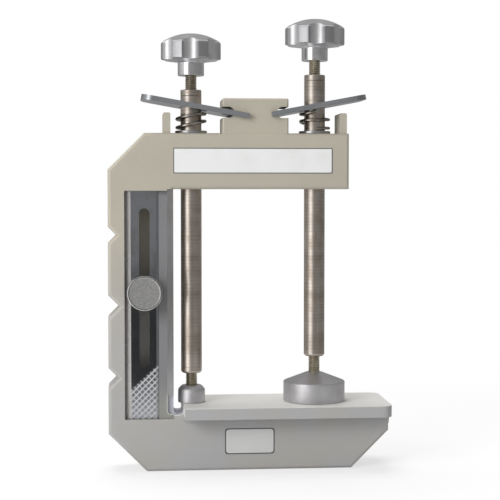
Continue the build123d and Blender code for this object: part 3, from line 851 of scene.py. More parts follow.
class Recipe:
    """A geometry tree with named inputs that is baked into plain meshes."""

    title = "recipe"

    def __init__(self) -> None:
        """Starts the tree with its geometry sockets and its finish, and builds the rest."""
        self.tree = bpy.data.node_groups.new(self.title, "GeometryNodeTree")
        self.graph = Graph(self.tree)
        for direction in ("INPUT", "OUTPUT"):
            self.tree.interface.new_socket("Geometry", in_out=direction, socket_type="NodeSocketGeometry")
        self.tree.interface.new_socket("Finish", in_out="INPUT", socket_type="NodeSocketMaterial")
        self.entry = self.graph.node("NodeGroupInput")
        self.build()

    def build(self) -> None:
        """Builds the tree between its inputs and close()."""
        raise NotImplementedError

    def numbers(self, *names: str, kind: str = "Float") -> list[Wire]:
        """Adds named inputs.

        Args:
            *names: The inputs' names.
            kind: The type of their sockets.

        Returns:
            The inputs as wires.
        """
        for name in names:
            self.tree.interface.new_socket(name, in_out="INPUT", socket_type=f"NodeSocket{kind}")
        return [Wire(self.graph, self.entry.outputs[name]) for name in names]

    def spiral(self, resolution: int, turns: Wire, radius: Wire, height: Wire) -> bpy.types.Node:
        """Gives a curve that climbs round an upright line, in so many steps a turn."""
        inputs = {"Resolution": resolution, "Rotations": turns, "Height": height, "Reverse": True}
        return self.graph.node("GeometryNodeCurveSpiral", {**inputs, "Start Radius": radius, "End Radius": radius})

    def swept(self, path: bpy.types.Node, profile: bpy.types.Node) -> bpy.types.Node:
        """Gives the closed body that a profile makes along a path."""
        return self.graph.node("GeometryNodeCurveToMesh", {"Curve": path, "Profile Curve": profile, "Fill Caps": True})

    def circle(self, resolution: int, radius: Wire | float) -> bpy.types.Node:
        """Gives a circle of so many points."""
        return self.graph.node("GeometryNodeCurvePrimitiveCircle", {"Resolution": resolution, "Radius": radius},
                               mode="RADIUS")

    def close(self, geometry: bpy.types.Node) -> None:
        """Ends the tree in real geometry with its finish set.

        Args:
            geometry: The last node of what the tree has made.
        """
        real = self.graph.node("GeometryNodeRealizeInstances", {"Geometry": geometry})
        dressed = self.graph.node("GeometryNodeSetMaterial",
                                  {"Geometry": real, "Material": self.entry.outputs["Finish"]})
        self.graph.node("NodeGroupOutput", {"Geometry": dressed})

    def bake(self, carrier: bpy.types.Object, values: Mapping[str, float], finish: Finish) -> bpy.types.Mesh:
        """Runs the tree on a carrier and removes the carrier.

        Args:
            carrier: The object whose mesh goes into the tree.
            values: The named inputs.
            finish: The finish of the result.

        Returns:
            The plain mesh.
        """
        given = {**values, "Finish": finish.material()}
        modifier = carrier.modifiers.new(self.title, "NODES")
        modifier.node_group = self.tree
        for item in self.tree.interface.items_tree:
            if item.in_out == "INPUT" and item.name in given:
                modifier[item.identifier] = given[item.name]
        bpy.context.view_layer.update()
        evaluated = carrier.evaluated_get(bpy.context.evaluated_depsgraph_get())
        result = bpy.data.meshes.new_from_object(evaluated)
        carrier.modifiers.remove(modifier)
        bpy.data.objects.remove(carrier)
        return result


class ThreadRecipe(Recipe):
    """Winds a ridge round a screw's core."""

    title = "thread"

    def build(self) -> None:
        """Sweeps a wedge along a spiral and joins it to the core."""
        graph = self.graph
        radius, ridge, pitch, length = self.numbers("Core Radius", "Ridge Height", "Pitch", "Length")
        spiral = self.spiral(28, length / pitch, radius, length)
        upright = graph.node("GeometryNodeSetCurveNormal", {"Curve": spiral}, mode="Z_UP")
        wedge = graph.node("GeometryNodeTransform", {
            "Geometry": self.circle(4, 1.0), "Scale": graph.vector(ridge, pitch * 0.49, 1.0)})
        winding = self.swept(upright, wedge)
        join = graph.node("GeometryNodeJoinGeometry")
        for part in (winding.outputs["Mesh"], self.entry.outputs["Geometry"]):
            self.tree.links.new(part, join.inputs["Geometry"])
        self.close(join)


class SpringRecipe(Recipe):
    """Winds a coil spring whose turns lean more and more towards its top."""

    title = "spring"

    def build(self) -> None:
        """Turns a spiral, leans it and sweeps the wire along it."""
        graph = self.graph
        radius, wire, turns, height, lean, sway, start = self.numbers(
            "Coil Radius", "Wire Radius", "Turns", "Height", "Lean", "Sway", "Start Angle")
        turned_spiral = graph.node("GeometryNodeTransform", {
            "Geometry": self.spiral(48, turns, radius, height), "Rotation": graph.vector(0.0, 0.0, start)})
        x = graph.parts(graph.node("GeometryNodeInputPosition"))[0]
        share = Wire(graph, graph.node("GeometryNodeSplineParameter").outputs["Factor"])
        top = share.ramp(0.74, 1.0)
        slope = lean * top - sway * share.ramp(0.0, 0.2) * (1.0 - top)
        leaning = graph.node("GeometryNodeSetPosition", {
            "Geometry": turned_spiral, "Offset": graph.vector(0.0, 0.0, x * slope)})
        self.close(self.swept(leaning, self.circle(14, wire)))


class RowRecipe(Recipe):
    """Repeats one screw along an upright row."""

    title = "row_of_screws"

    def build(self) -> None:
        """Puts the screw on the points of a line."""
        graph = self.graph
        count, = self.numbers("Count", kind="Int")
        spacing, = self.numbers("Spacing")
        row = graph.node("GeometryNodeMeshLine", {"Count": count, "Offset": graph.vector(0.0, 0.0, spacing)},
                         mode="OFFSET")
        self.close(graph.node("GeometryNodeInstanceOnPoints", {
            "Points": row, "Instance": self.entry.outputs["Geometry"]}))


class FluteRecipe(Recipe):
    """Presses round flutes into the rim of a turned blank."""

    title = "fluted_rim"

    def build(self) -> None:
        """Moves each point inwards to the nearest flute, with a soft edge."""
        graph = self.graph
        lobes, first, flute, distance, softness = self.numbers(
            "Lobes", "First Angle", "Flute Radius", "Flute Distance", "Softness")
        x, y, z = graph.parts(graph.node("GeometryNodeInputPosition"))
        radius = graph.math("MAXIMUM", graph.length(x, y), TINY)
        half_sector = math.pi / lobes
        angle = graph.math("WRAP", graph.math("ARCTAN2", y, x) - first, half_sector, -half_sector)
        across = distance * graph.math("SINE", angle)
        chord = graph.math("MAXIMUM", flute * flute - across * across, 0.0)
        limit = distance * graph.math("COSINE", angle) - graph.math("SQRT", chord)
        share = graph.math("SMOOTH_MIN", radius, limit, softness) / radius
        self.close(graph.node("GeometryNodeSetPosition", {
            "Geometry": self.entry.outputs["Geometry"], "Position": graph.vector(x * share, y * share, z)}))


def box_mm(node: str) -> tuple[Vector, Vector]:
    """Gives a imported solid's lowest and highest corners in millimetres."""
    low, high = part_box(node)
    return low / MM, high / MM


def upright_axis(node: str) -> Vector:
    """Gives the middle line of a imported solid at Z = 0."""
    low, high = box_mm(node)
    return Vector(((low.x + high.x) / 2, (low.y + high.y) / 2, 0.0))


@dataclass(frozen=True)
class Zone:
    """A block of space, in which a casting's faces have a finish of their own."""

    low: Vector
    high: Vector
    slack: float = 0.25

    def holds(self, point: Vector) -> bool:
        """Tells whether a point lies in the block, give or take the slack."""
        return all(self.low[i] - self.slack <= point[i] <= self.high[i] + self.slack for i in range(3))


@dataclass(frozen=True)
class Label:
    """A bare label plate: its edges, the rounding of its corners, its printed rim and its film."""

    name: str
    left: float
    right: float
    bottom: float
    top: float
    corner: float
    rim: float
    film: Finish


@dataclass
class Casting:
    """The painted frame casting and its two label plates."""

    nodes: Mapping[str, bpy.types.Object]
    edge: float = 0.5
    thickness: float = 36.0
    anvil_height: float = 55.2
    relief_depth: float = 8.2
    relief_width: float = 7.8
    relief_slack: float = 0.1
    label_thickness: float = 0.25
    labels: tuple[Label, ...] = (
        Label("upper_label_plate", -63.3, 68.8, 247.4, 268.3, 0.6, 0.65, LABEL_FILM),
        Label("lower_label_plate", -20.9, 20.6, 13.5, 35.2, 2.8, 0.9, LABEL_SILVER))

    def build(self) -> None:
        """Builds and fits every piece of the casting."""
        self.frame()
        for label in self.labels:
            self.label(label)

    def zones(self) -> list[Zone]:
        """Gives the blocks of space of the recess and of the relief groove.

        Returns:
            The recess and the groove.
        """
        plate_low, plate_high = box_mm("slotted_plate")
        fence_low, fence_high = box_mm("fence_plate")
        front = -self.thickness / 2
        recess = Zone(Vector((plate_low.x, front, plate_low.z)), Vector((fence_high.x, plate_high.y, plate_high.z)))
        groove = Zone(Vector((fence_low.x, front, self.anvil_height - self.relief_depth)),
                      Vector((fence_high.x + self.relief_width, -front, fence_low.z)), self.relief_slack)
        return [recess, groove]

    def frame(self) -> None:
        """Makes the merged, eased copy of the casting, with painted shade in its recess and partly painted light in
        its relief pocket.
        """
        shape = Shape().copy(self.nodes["frame_casting"])
        zones = self.zones()
        for face in shape.mesh.faces:
            for number, zone in enumerate(zones, 1):
                if all(zone.holds(vertex.co) for vertex in face.verts):
                    face.material_index = number
        piece = shape.object("cast_frame", recalculate=False)
        eased(piece, self.edge)
        fit(piece, "frame", [CASTING_PAINT, RECESS_PAINTED_SHADE, POCKET_PAINT], "frame_casting")

    def label(self, label: Label) -> None:
        """Makes a bare label plate with a printed rim.

        Args:
            label: The plate.
        """
        front = -self.thickness / 2 - self.label_thickness
        corners = [(x, z, label.corner) for x, z in ((label.left, label.bottom), (label.right, label.bottom),
                                                     (label.right, label.top), (label.left, label.top))]
        outline = [Vector((x, front, z)) for x, z in softened(corners, 6, loop=True)]
        shape = Shape().plate(outline, Vector((0.0, self.label_thickness, 0.0)), label.rim)
        fit(shape.object(label.name), "frame", [label.film, LABEL_RIM])


@dataclass
class ColumnFace:
    """The slotted plate, the fence plate and the screws that hold them."""

    nodes: Mapping[str, bpy.types.Object]
    recipe: RowRecipe
    left_bevel: float = 5.2
    solid_bevel: float = 6.5
    plate_edge: float = 0.15
    plate_crease: float = 8.0
    fence_screws: int = 3
    fence_head: float = 9.6
    fence_shank: float = 5.0
    fence_length: float = 16.0
    fence_sunk: float = 0.15
    plate_screws: int = 2
    plate_head_height: float = 4.0
    plate_shank: float = 4.0
    hex_across: float = 3.0
    hex_depth: float = 2.0
    drill_depth: float = 2.6
    segments: int = 48

    def build(self) -> None:
        """Dresses the plates and fits the screws."""
        self.plate()
        dress(self.nodes["fence_plate"], FENCE_STEEL)
        self.fence_row()
        self.plate_row()

    def plate(self) -> None:
        """Makes the merged copy of the slotted plate with its fine edges and its left bevel's true width."""
        low = box_mm("slotted_plate")[0]
        shape = Shape().copy(self.nodes["slotted_plate"])
        for vertex in shape.mesh.verts:
            if vertex.co.y < low.y + 0.1 and vertex.co.x < low.x + self.solid_bevel + 0.1:
                vertex.co.x = low.x + self.left_bevel
        piece = shape.object("polished_slotted_plate", self.plate_crease, recalculate=False)
        eased(piece, self.plate_edge, self.plate_crease, 1)
        fit(piece, "frame", [PLATE_MIRROR], "slotted_plate")

    def hexagon(self, height: float, place: Matrix) -> list[Vector]:
        """Gives points along the hexagon of a screw's socket.

        Args:
            height: Its height along the screw.
            place: Where the screw goes.

        Returns:
            The points.
        """
        ring = []
        for angle in even_angles(self.segments):
            off_flat = (angle + math.pi / 6) % (math.pi / 3) - math.pi / 6
            ring += rings([(self.hex_across / 2 / math.cos(off_flat), height)], place, [angle])[0]
        return ring

    def row(self, kind: str, profile: Profile, place: Matrix, count: int, step: float) -> None:
        """Fits a row of like screws with hexagon sockets in their heads.

        Args:
            kind: Which plate they hold.
            profile: (radius, height) from the tip up to the socket's rim.
            place: Where the lowest screw goes.
            count: How many screws there are.
            step: The distance between two of them.
        """
        top = profile[-1][1]
        body = rings(profile, place, even_angles(self.segments))
        socket = [self.hexagon(height, place) for height in (top, top - self.hex_depth)]
        bottom = [place @ Vector((0.0, 0.0, top - self.drill_depth))]
        one = Shape().skin([*body, *socket, bottom]).object(f"{kind}_screw_blank")
        mesh = self.recipe.bake(one, {"Count": count, "Spacing": step * MM}, ZINC_STEEL)
        fit(as_object(f"{kind}_screw_row", mesh), "frame", [ZINC_STEEL], f"{kind}_screws")

    def fence_row(self) -> None:
        """Fits the countersunk screws of the fence plate."""
        low, high = box_mm("fence_screws")
        head, shank, sunk = self.fence_head / 2, self.fence_shank / 2, self.fence_sunk
        profile = [(0.0, -self.fence_length), (shank - 0.5, -self.fence_length),
                   (shank, -self.fence_length + 0.5), (shank, shank - head), (head, -0.3 - sunk), (head, -sunk),
                   (head - 0.2, -sunk)]
        place = Matrix.Translation((high.x, (low.y + high.y) / 2, low.z + head)) @ Matrix.Rotation(math.pi / 2, 4, "Y")
        self.row("fence", profile, place, self.fence_screws,
                 (high.z - low.z - self.fence_head) / (self.fence_screws - 1))

    def plate_row(self) -> None:
        """Fits the cap screws in the back of the column."""
        low, high = box_mm("plate_screws")
        head, shank = (high.x - low.x) / 2, self.plate_shank / 2
        length = high.y - low.y
        neck = length - self.plate_head_height
        profile = softened([
            (0.0, 0.0, 0.0), (shank, 0.0, 0.3), (shank, neck, 0.0), (head, neck, 0.2), (head, length, 0.5),
            (self.hex_across / 2 + 0.4, length, 0.0)], 3)
        place = Matrix.Translation(((low.x + high.x) / 2, low.y, low.z + head)) @ Matrix.Rotation(-math.pi / 2, 4, "X")
        self.row("plate", profile, place, self.plate_screws, high.z - low.z - 2 * head)


@dataclass
class ThumbKnob:
    """The round knob on the slotted plate with its washer, stud and sliding nut."""

    nodes: Mapping[str, bpy.types.Object]
    neck: float = 7.5
    neck_length: float = 6.0
    stud: float = 4.0
    stud_in_knob: float = 9.0
    edge: float = 1.1
    dish: float = 0.3
    dish_rim: float = 1.6
    dish_slope: float = 0.6

    def build(self) -> None:
        """Builds and fits every piece of the knob."""
        for name in ("thumb_washer", "thumb_stud", "slide_nut"):
            dress(self.nodes[name], ZINC_STEEL)
        self.knob()

    def knob(self) -> None:
        """Makes the turned knob, its face a little dished inside a bright rim."""
        low, high = box_mm("thumb_knob")
        head = (high.x - low.x) / 2
        length = high.y - low.y
        middle_x, middle_z = (low.x + high.x) / 2, (low.z + high.z) / 2
        corners = [
            (0.0, self.stud_in_knob, 0.0), (self.stud, self.stud_in_knob, 0.0), (self.stud, 0.0, 0.3),
            (self.neck, 0.0, 0.4), (self.neck, self.neck_length, 0.5), (head, self.neck_length, self.edge),
            (head, length, self.edge), (head - self.dish_rim, length - 0.05, 0.3),
            (head - self.dish_rim - self.dish_slope, length - self.dish, 0.3), (0.0, length - self.dish, 0.0)]
        place = Matrix.Translation((middle_x, high.y, middle_z)) @ Matrix.Rotation(math.pi / 2, 4, "X")
        finish = RingedFace("turned_aluminium", "turned_knob_face", tone(190, 190, 189), tone(168, 168, 168),
                            mark_size=0.5, smooth=0.18, rough=0.44, middle_x=middle_x, middle_z=middle_z,
                            rim_radius=head - 1.5)
        fit(turned("turned_thumb_knob", corners, place, 128, 5, loop=False), "thumb_knob", [finish], "thumb_knob")


@dataclass
class Spindle:
    """A clamping spindle: its tube with cap, its screw, its star knob and its foot."""

    side: str
    nodes: Mapping[str, bpy.types.Object]
    threads: ThreadRecipe
    flutes: FluteRecipe
    pitch: float = 1.5
    thread_depth: float = 0.5
    bore: float = 4.9
    cap_spigot: float = 6.0
    cap_joint: float = 0.45
    lobes: int = 7
    flute_diameter: float = 16.0
    flute_depth: float = 4.3
    first_flute: float = -94.0
    star_radius: float = 25.0
    star_bore: float = 4.85
    star_hub: float = 11.0
    star_hub_height: float = 13.2
    star_rim_height: float = 14.1
    star_dome: float = 7.8
    star_undercut: float = 2.0
    star_softness: float = 1.1
    star_run: float = 1.2
    dome_start: float = 2.2
    dome_step: float = 0.28
    dome_rings: tuple[int, int] = (20, 12)
    belly_from: float = 14.0
    lobe_steps: tuple[float, ...] = (0.0, 3.0, 6.0, 8.5, 10.5, 12.0, 13.1, 14.0, 14.7, 15.4, 16.1, 16.9, 17.9, 19.4,
                                     21.5, 23.6)
    screw_in_knob: float = 18.0
    foot_recess: tuple[float, float] = (7.0, 4.5)
    foot_web: float = 3.5
    tip_radius: float = 3.5
    tip_gap: float = 0.05

    def build(self) -> None:
        """Builds and fits every piece of the spindle."""
        for name, finish in (("clamp_tube", TUBE_STEEL), ("tube_nut", ZINC_STEEL), ("foot_clip", SPRING_STEEL),
                             ("knob_set_screw", ZINC_STEEL)):
            dress(self.nodes[f"{name}_{self.side}"], finish)
        self.cap()
        self.screw()
        self.star_knob()
        self.foot()

    def at(self, height: float) -> Matrix:
        """Gives the place on the spindle's middle line at a height."""
        return Matrix.Translation(upright_axis(f"clamp_tube_{self.side}") + Vector((0.0, 0.0, height)))

    def cap(self) -> None:
        """Makes the collar in the tube's top, with eased edges that leave a fine joint line."""
        low, high = box_mm(f"tube_cap_{self.side}")
        tube_top = box_mm(f"clamp_tube_{self.side}")[1].z
        outer, bore, joint = (high.x - low.x) / 2, self.bore, self.cap_joint
        corners = [
            (bore, low.z, 0.0), (self.cap_spigot, low.z, 0.0), (self.cap_spigot, tube_top, 0.0),
            (outer - joint, tube_top, 0.1), (outer, tube_top + joint, 0.15), (outer, high.z, 0.7),
            (bore, high.z, 0.5)]
        fit(turned(f"tube_collar_{self.side}", corners, self.at(0.0)), f"tube_{self.side}", [TUBE_STEEL],
            f"tube_cap_{self.side}")

    def screw(self) -> None:
        """Makes the screw: a core with its plain tip, and the thread wound round it."""
        low, high = box_mm(f"spindle_screw_{self.side}")
        foot_low = box_mm(f"foot_{self.side}")[0].z
        shoulder = foot_low + self.foot_recess[1] + self.foot_web + self.tip_gap
        core, tip = (high.x - low.x) / 2 - self.thread_depth, self.tip_radius
        profile = [(0.0, low.z), (tip - 0.4, low.z), (tip, low.z + 0.4), (tip, shoulder), (core, shoulder),
                   (core, high.z), (0.0, high.z)]
        name = f"threaded_screw_{self.side}"
        blank = Shape().turn([(r, z - shoulder) for r, z in profile], Matrix(), 56).object(name + "_core")
        mesh = self.threads.bake(blank, {
            "Core Radius": core * MM, "Ridge Height": self.thread_depth * MM, "Pitch": self.pitch * MM,
            "Length": (high.z - shoulder - 1.0) * MM}, SCREW_STEEL)
        mesh.transform(Matrix.Translation(self.at(shoulder).translation * MM))
        fit(as_object(name, mesh), f"screw_{self.side}", [SCREW_STEEL], f"spindle_screw_{self.side}")

    def star_profile(self) -> Profile:
        """Gives the path of the star knob's blank, from the bore's end over the hub and rim to the dome's middle.

        Returns:
            Its points of (radius, height).
        """
        radius, hub, top = self.star_radius, self.star_hub, self.star_hub_height + self.star_rim_height
        sphere = (radius ** 2 + self.star_dome ** 2) / (2 * self.star_dome)
        centre = top + self.star_dome - sphere
        dome = [(r, centre + math.sqrt(sphere ** 2 - r ** 2)) for r in self.dome_radii()]
        under = self.star_hub_height - self.star_undercut
        slope = self.star_undercut / (radius - hub)
        belly = [(r, under + (r - hub) * slope) for r in reversed(self.dome_radii()) if r > self.belly_from]
        lower = softened([
            (0.0, self.screw_in_knob, 0.0), (self.star_bore, self.screw_in_knob, 0.0), (self.star_bore, 0.0, 0.4),
            (hub, 0.0, 0.8), (hub, under, 1.4), belly[0] + (0.0,)], 5)
        rim = softened([belly[-1] + (0.0,), (radius, self.star_hub_height, 1.4), (radius, top, 1.6),
                        dome[0] + (0.0,)], 6)
        return lower[:-1] + belly[:-1] + self.divided(rim) + dome[1:]

    def star_knob(self) -> None:
        """Makes the buffed star knob from a turned blank with its flutes pressed in."""
        side = self.side
        base = box_mm(f"star_knob_{side}")[0].z
        axis = self.at(base).translation
        blank = Shape().skin(rings(self.star_profile(), Matrix(), self.lobe_angles())).object(f"star_blank_{side}")
        metal = StarMetal("polished_aluminium", f"buffed_star_{side}", tone(228, 228, 231), tone(212, 213, 216),
                          Grain.ALONG_Z, 1.2, 0.02, 14.0, 0.36, 0.50, axis.x,
                          base + (self.star_hub_height + self.star_rim_height))
        flute = self.flute_diameter / 2
        mesh = self.flutes.bake(blank, {
            "Lobes": float(self.lobes), "First Angle": math.radians(self.first_flute), "Flute Radius": flute * MM,
            "Flute Distance": (self.star_radius - self.flute_depth + flute) * MM,
            "Softness": self.star_softness * MM}, metal)
        mesh.transform(Matrix.Translation(axis * MM))
        mesh.materials.append(HUB_METAL.material())
        middle, reach, edge = axis * MM, (self.star_hub + 0.3) * MM, (base + self.star_hub_height) * MM
        for face in mesh.polygons:
            face.material_index = int((face.center - middle).xy.length < reach and face.center.z < edge)
        fit(as_object(f"buffed_star_{side}", mesh, 40.0), f"screw_{side}", [metal, HUB_METAL], f"star_knob_{side}")

    def lobe_angles(self) -> list[float]:
        """Gives the angles of the star blank's edges, close together along the flutes' rims.

        Returns:
            The angles in radians.
        """
        sector = 360 / self.lobes
        steps = [*self.lobe_steps, *(sector - step for step in reversed(self.lobe_steps[1:]))]
        return [math.radians(self.first_flute + index * 360 / self.lobes + step)
                for index in range(self.lobes) for step in steps]

    def dome_radii(self) -> list[float]:
        """Gives the dome's rings from its rim to its middle, close together where the flutes bite."""
        outer = [self.star_radius - self.dome_start - self.dome_step * step for step in range(self.dome_rings[0])]
        return outer + [outer[-1] * (1 - step / self.dome_rings[1]) for step in range(1, self.dome_rings[1] + 1)]

    def divided(self, path: Profile) -> Profile:
        """Divides the long runs of a path.

        Args:
            path: The path.

        Returns:
            The finer path.
        """
        fine: Profile = []
        for (u0, v0), (u1, v1) in zip(path, path[1:]):
            parts = max(1, math.ceil(math.hypot(u1 - u0, v1 - v0) / self.star_run))
            fine += [(u0 + (u1 - u0) * k / parts, v0 + (v1 - v0) * k / parts) for k in range(parts)]
        return fine + [path[-1]]

    def foot(self) -> None:
        """Makes the turned foot: a short collar on the left, a wide cone on the right."""
        low, high = box_mm(f"foot_{self.side}")
        radius, height = (high.x - low.x) / 2, high.z - low.z
        recess, recess_depth = self.foot_recess
        web_top, tip, bore = recess_depth + self.foot_web, self.tip_radius + self.tip_gap, self.bore
        inside = [(tip, web_top, 0.0), (tip, recess_depth, 0.0), (recess, recess_depth, 0.3), (recess, 0.0, 0.4)]
        if self.side == "left":
            slope = 3.4
            outside = [(radius, height - slope, 1.6), (radius - slope, height, 1.3), (bore, height, 0.4)]
        else:
            wall, neck = 16.6, 6.5
            outside = [(radius, wall, 0.9), (neck, height, 1.6), (bore, height, 0.3)]
        corners = [*inside, (radius, 0.0, 0.7), *outside, (bore, web_top, 0.0)]
        fit(turned(f"turned_foot_{self.side}", corners, self.at(low.z), 144, 5), f"foot_{self.side}", [FOOT_METAL],
            f"foot_{self.side}")


@dataclass
class Latch:
    """A latch lever with the coil spring and the washer under it."""

    side: str
    nodes: Mapping[str, bpy.types.Object]
    springs: SpringRecipe
    lever_edge: float = 0.9
    washer_bore: float = 8.95
    wire: float = 1.2
    coil_radius: float = 11.9
    turns: float = 2.0
    seat: float = 0.3
    sway: float = 0.09
    squeeze: dict[str, float] = field(default_factory=lambda: {"left": 0.78, "right": 0.76})
    tilt: dict[str, float] = field(default_factory=lambda: {"left": 10.1, "right": 10.7})

    def build(self) -> None:
        """Builds and fits every piece of the latch."""
        self.lever()
        self.washer()
        self.spring()

    def lever(self) -> None:
        """Makes the merged copy of the lever with its rounded edges."""
        shape = Shape().copy(self.nodes[f"lever_{self.side}"], 1.0)
        piece = shape.object(f"polished_lever_{self.side}", recalculate=False)
        eased(piece, self.lever_edge, 40.0, 3)
        fit(piece, f"lever_{self.side}", [LEVER_STEEL], f"lever_{self.side}")

    def washer(self) -> None:
        """Makes the washer that the spring stands on."""
        name = f"spring_washer_{self.side}"
        low, high = box_mm(name)
        outer, bore = (high.x - low.x) / 2, self.washer_bore
        corners = [(bore, low.z, 0.2), (outer, low.z, 0.4), (outer, high.z, 0.6), (bore, high.z, 0.4)]
        piece = turned(f"rounded_washer_{self.side}", corners, Matrix.Translation(upright_axis(name)), steps=3)
        fit(piece, "frame", [ZINC_STEEL], name)

    def spring(self) -> None:
        """Makes the coil spring, which starts on the lever's outer side."""
        side = self.side
        outward = -1 if side == "left" else 1
        axis, up = upright_axis(f"spring_washer_{side}"), Vector((0.0, 0.0, 1.0))
        washer_top = box_mm(f"spring_washer_{side}")[1].z
        slope = math.tan(math.radians(self.tilt[side])) * outward
        bottom = washer_top + self.wire + self.seat
        top = box_mm(f"lever_spring_{side}")[1].z
        top = top - self.wire / math.cos(math.atan(slope)) - self.coil_radius * abs(slope)
        carrier = as_object(f"spring_blank_{side}", bpy.data.meshes.new("blank"))
        mesh = self.springs.bake(carrier, {
            "Coil Radius": self.coil_radius * MM, "Wire Radius": self.wire * MM, "Turns": self.turns,
            "Height": (top - bottom) * MM, "Lean": slope, "Sway": self.sway * outward,
            "Start Angle": -outward * math.pi / 2}, SPRING_STEEL)
        mesh.transform(Matrix.Translation((axis + up * bottom) * MM))
        piece = as_object(f"coil_spring_{side}", mesh)
        fit(piece, "frame", [SPRING_STEEL], f"lever_spring_{side}")
        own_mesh(piece)


@dataclass(frozen=True)
class Lamp:
    """A soft square lamp: its place and its side's length in metres, and its power in watts."""

    name: str
    place: Corner
    size: float
    power: float

    def hang(self, target: Corner) -> None:
        """Hangs the lamp, which polished metal doesn't mirror.

        Args:
            target: What it shines on.
        """
        data = bpy.data.lights.new(self.name, "AREA")
        data.size = self.size
        data.energy = self.power
        lamp = bpy.data.objects.new(self.name, data)
        lamp.location = self.place
        lamp.rotation_euler = (Vector(target) - Vector(self.place)).to_track_quat("-Z", "Y").to_euler()
        lamp.visible_glossy = False
        bpy.context.scene.collection.objects.link(lamp)


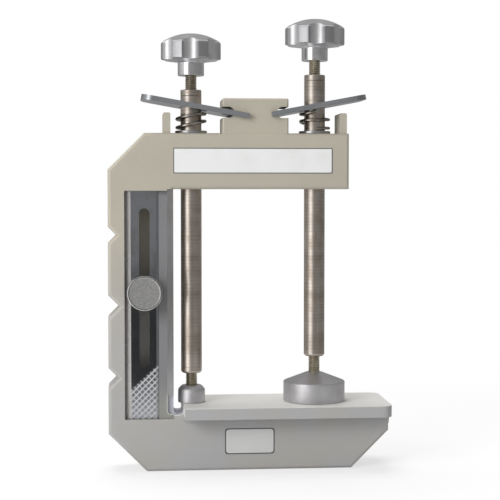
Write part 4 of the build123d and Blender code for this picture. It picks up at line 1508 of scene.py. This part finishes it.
@dataclass
class Studio:
    """The pale floor, the soft lamps, the cards that metal mirrors, and the camera."""

    camera_place: Corner = (-0.0994, -1.132, 0.2353)
    camera_turn: Corner = (87.37, 0.0, -5.1)
    lens: float = 97.2
    sensor: float = 36.0
    lamps: tuple[Lamp, ...] = (Lamp("front_lamp", (-1.55, -1.45, 0.9), 1.3, 37.0),
                               Lamp("top_lamp", (-0.2, 0.35, 2.2), 1.2, 30.0))
    lamp_target: Corner = (0.0, 0.0, 0.18)
    floor_reach: float = 4000.0
    floor_tone: Colour = (0.86, 0.86, 0.86, 1.0)
    bounce_tone: Colour = (0.55, 0.55, 0.55, 1.0)
    floor_share: float = 0.62
    floor_glow: float = 1.02
    floor_fade: tuple[float, float] = (250.0, 900.0)
    fill: float = 0.42
    card_tone: Colour = (1.0, 0.99, 0.97, 1.0)
    card_start: float = 320.0
    card_radius: float = 2400.0
    card_height: float = 2200.0
    card_slack: float = 10.0
    near_reach: tuple[float, float] = (380.0, 480.0)
    near_level: float = 0.4
    dark_turn: tuple[float, float] = (10.0, 26.0)
    dark_level: float = 0.06
    front_level: float = 0.34
    left_turn: tuple[float, float] = (-52.0, -12.0)
    left_level: float = 0.68
    right_turn: tuple[float, float] = (4.0, 60.0)
    right_level: float = 0.26
    back_turn: tuple[float, float] = (80.0, 140.0)
    back_level: float = 0.34
    strip_angle: float = -47.0
    strip_turn: tuple[float, float] = (11.0, 20.0)
    strip_level: float = 1.5
    window_angle: float = -8.0
    window_turn: tuple[float, float] = (16.0, 30.0)
    window_foot: tuple[float, float] = (545.0, 580.0)
    window_head: tuple[float, float] = (760.0, 820.0)
    window_level: float = 0.4
    roof_level: float = 0.5

    def build(self) -> None:
        """Builds the whole studio."""
        self.world()
        self.floor()
        self.cards()
        for lamp in self.lamps:
            lamp.hang(self.lamp_target)
        self.camera()

    @staticmethod
    def seen(graph: Graph) -> Wire:
        """Tells what a ray is for.

        Args:
            graph: The tree to build in.

        Returns:
            1 for what the camera, a mirror or glass sees, and 0 for light on a surface.
        """
        path = graph.node("ShaderNodeLightPath")
        camera, mirror, glass = (Wire(graph, path.outputs[f"Is {name} Ray"])
                                 for name in ("Camera", "Glossy", "Transmission"))
        return graph.math("MAXIMUM", graph.math("MAXIMUM", camera, mirror), glass)

    def world(self) -> None:
        """Makes the white background and the even fill light."""
        world = bpy.data.worlds.new("studio_world")
        graph = bare_graph(world)
        strength = self.seen(graph) * (1.0 - self.fill) + self.fill
        graph.end("World", graph.node("ShaderNodeBackground", {"Color": WHITE, "Strength": strength}))
        bpy.context.scene.world = world

    def floor(self) -> None:
        """Makes the floor, which looks white but keeps the clamp's shadow."""
        shape = Shape()
        reach = self.floor_reach
        corners = [(-reach, -reach), (reach, -reach), (reach, reach), (-reach, reach)]
        shape.mesh.faces.new([shape.mesh.verts.new((x, y, -0.1)) for x, y in corners])
        floor = shape.object("studio_floor", recalculate=False)
        material = bpy.data.materials.new("pale_floor")
        graph = bare_graph(material)
        matt = graph.node("ShaderNodeBsdfDiffuse", {
            "Color": graph.mix(self.seen(graph), self.bounce_tone, self.floor_tone)})
        white = graph.node("ShaderNodeEmission", {"Color": WHITE, "Strength": self.floor_glow})
        far = graph.length(*graph.axes()[:2]).ramp(*self.floor_fade)
        share = self.floor_share + far * (1.0 - self.floor_share)
        graph.end("Material", graph.node("ShaderNodeMixShader", {0: self.seen(graph) * share, 1: matt, 2: white}))
        floor.data.materials.append(material)

    def card_light(self, graph: Graph) -> Wire:
        """Gives the brightness of the drum: darker to the right and low in front, with a strip on the left.

        Args:
            graph: The tree to build in.

        Returns:
            The brightness of its walls, its roof and its ground.
        """
        x, y, z = graph.axes()
        angle = graph.math("ARCTAN2", x, -y) * (180 / math.pi)
        radius = graph.length(x, y)
        roof = z.above(self.card_height - self.card_slack)
        ground = 1.0 - z.above(self.card_slack)
        left = (1.0 - angle.ramp(*self.left_turn)) * (self.left_level - self.front_level)
        right = angle.ramp(*self.right_turn) * (self.right_level - self.front_level)
        level = self.front_level + left + right
        level = level + abs(angle).ramp(*self.back_turn) * (self.back_level - level)
        facing = 1.0 - abs(angle).ramp(*self.dark_turn)
        level = level - ground * facing * (self.front_level - self.dark_level)
        level = level + ground * (1.0 - radius.ramp(*self.near_reach)) * self.near_level
        strip = (1.0 - abs(angle - self.strip_angle).ramp(*self.strip_turn)) * self.strip_level
        window = z.ramp(*self.window_foot) * (1.0 - z.ramp(*self.window_head))
        window = window * (1.0 - abs(angle - self.window_angle).ramp(*self.window_turn)) * self.window_level
        return (1.0 - roof) * (level + strip + window) + roof * self.roof_level

    def cards(self) -> None:
        """Makes the grey drum of cards that only polished metal sees."""
        profile = [(self.card_start, 2.0), (self.card_radius, 2.0), (self.card_radius, self.card_height),
                   (0.0, self.card_height)]
        piece = Shape().turn(profile, Matrix()).object("studio_cards", recalculate=False)
        material = bpy.data.materials.new("card_grey")
        graph = bare_graph(material)
        glow = {"Color": self.card_tone, "Strength": self.card_light(graph)}
        graph.end("Material", graph.node("ShaderNodeEmission", glow))
        piece.data.materials.append(material)
        piece.visible_camera = piece.visible_diffuse = piece.visible_shadow = False

    def camera(self) -> None:
        """Sets up the camera where the photographer stood."""
        data = bpy.data.cameras.new("camera")
        data.lens = self.lens
        data.sensor_width = self.sensor
        camera = bpy.data.objects.new("camera", data)
        camera.location = self.camera_place
        camera.rotation_euler = [math.radians(angle) for angle in self.camera_turn]
        bpy.context.scene.collection.objects.link(camera)
        bpy.context.scene.camera = camera


def main() -> None:
    """Loads the frame and builds the clamp and its studio in order."""
    logging.basicConfig(level=logging.INFO, format="%(message)s")
    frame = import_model()
    nodes = frame["nodes"]
    bpy.context.scene.view_settings.view_transform = "Standard"
    Studio().build()
    Casting(nodes).build()
    ColumnFace(nodes, RowRecipe()).build()
    ThumbKnob(nodes).build()
    threads, flutes, springs = ThreadRecipe(), FluteRecipe(), SpringRecipe()
    for side in SIDES:
        Spindle(side, nodes, threads, flutes).build()
        Latch(side, nodes, springs).build()


if __name__ == "__main__":
    main()
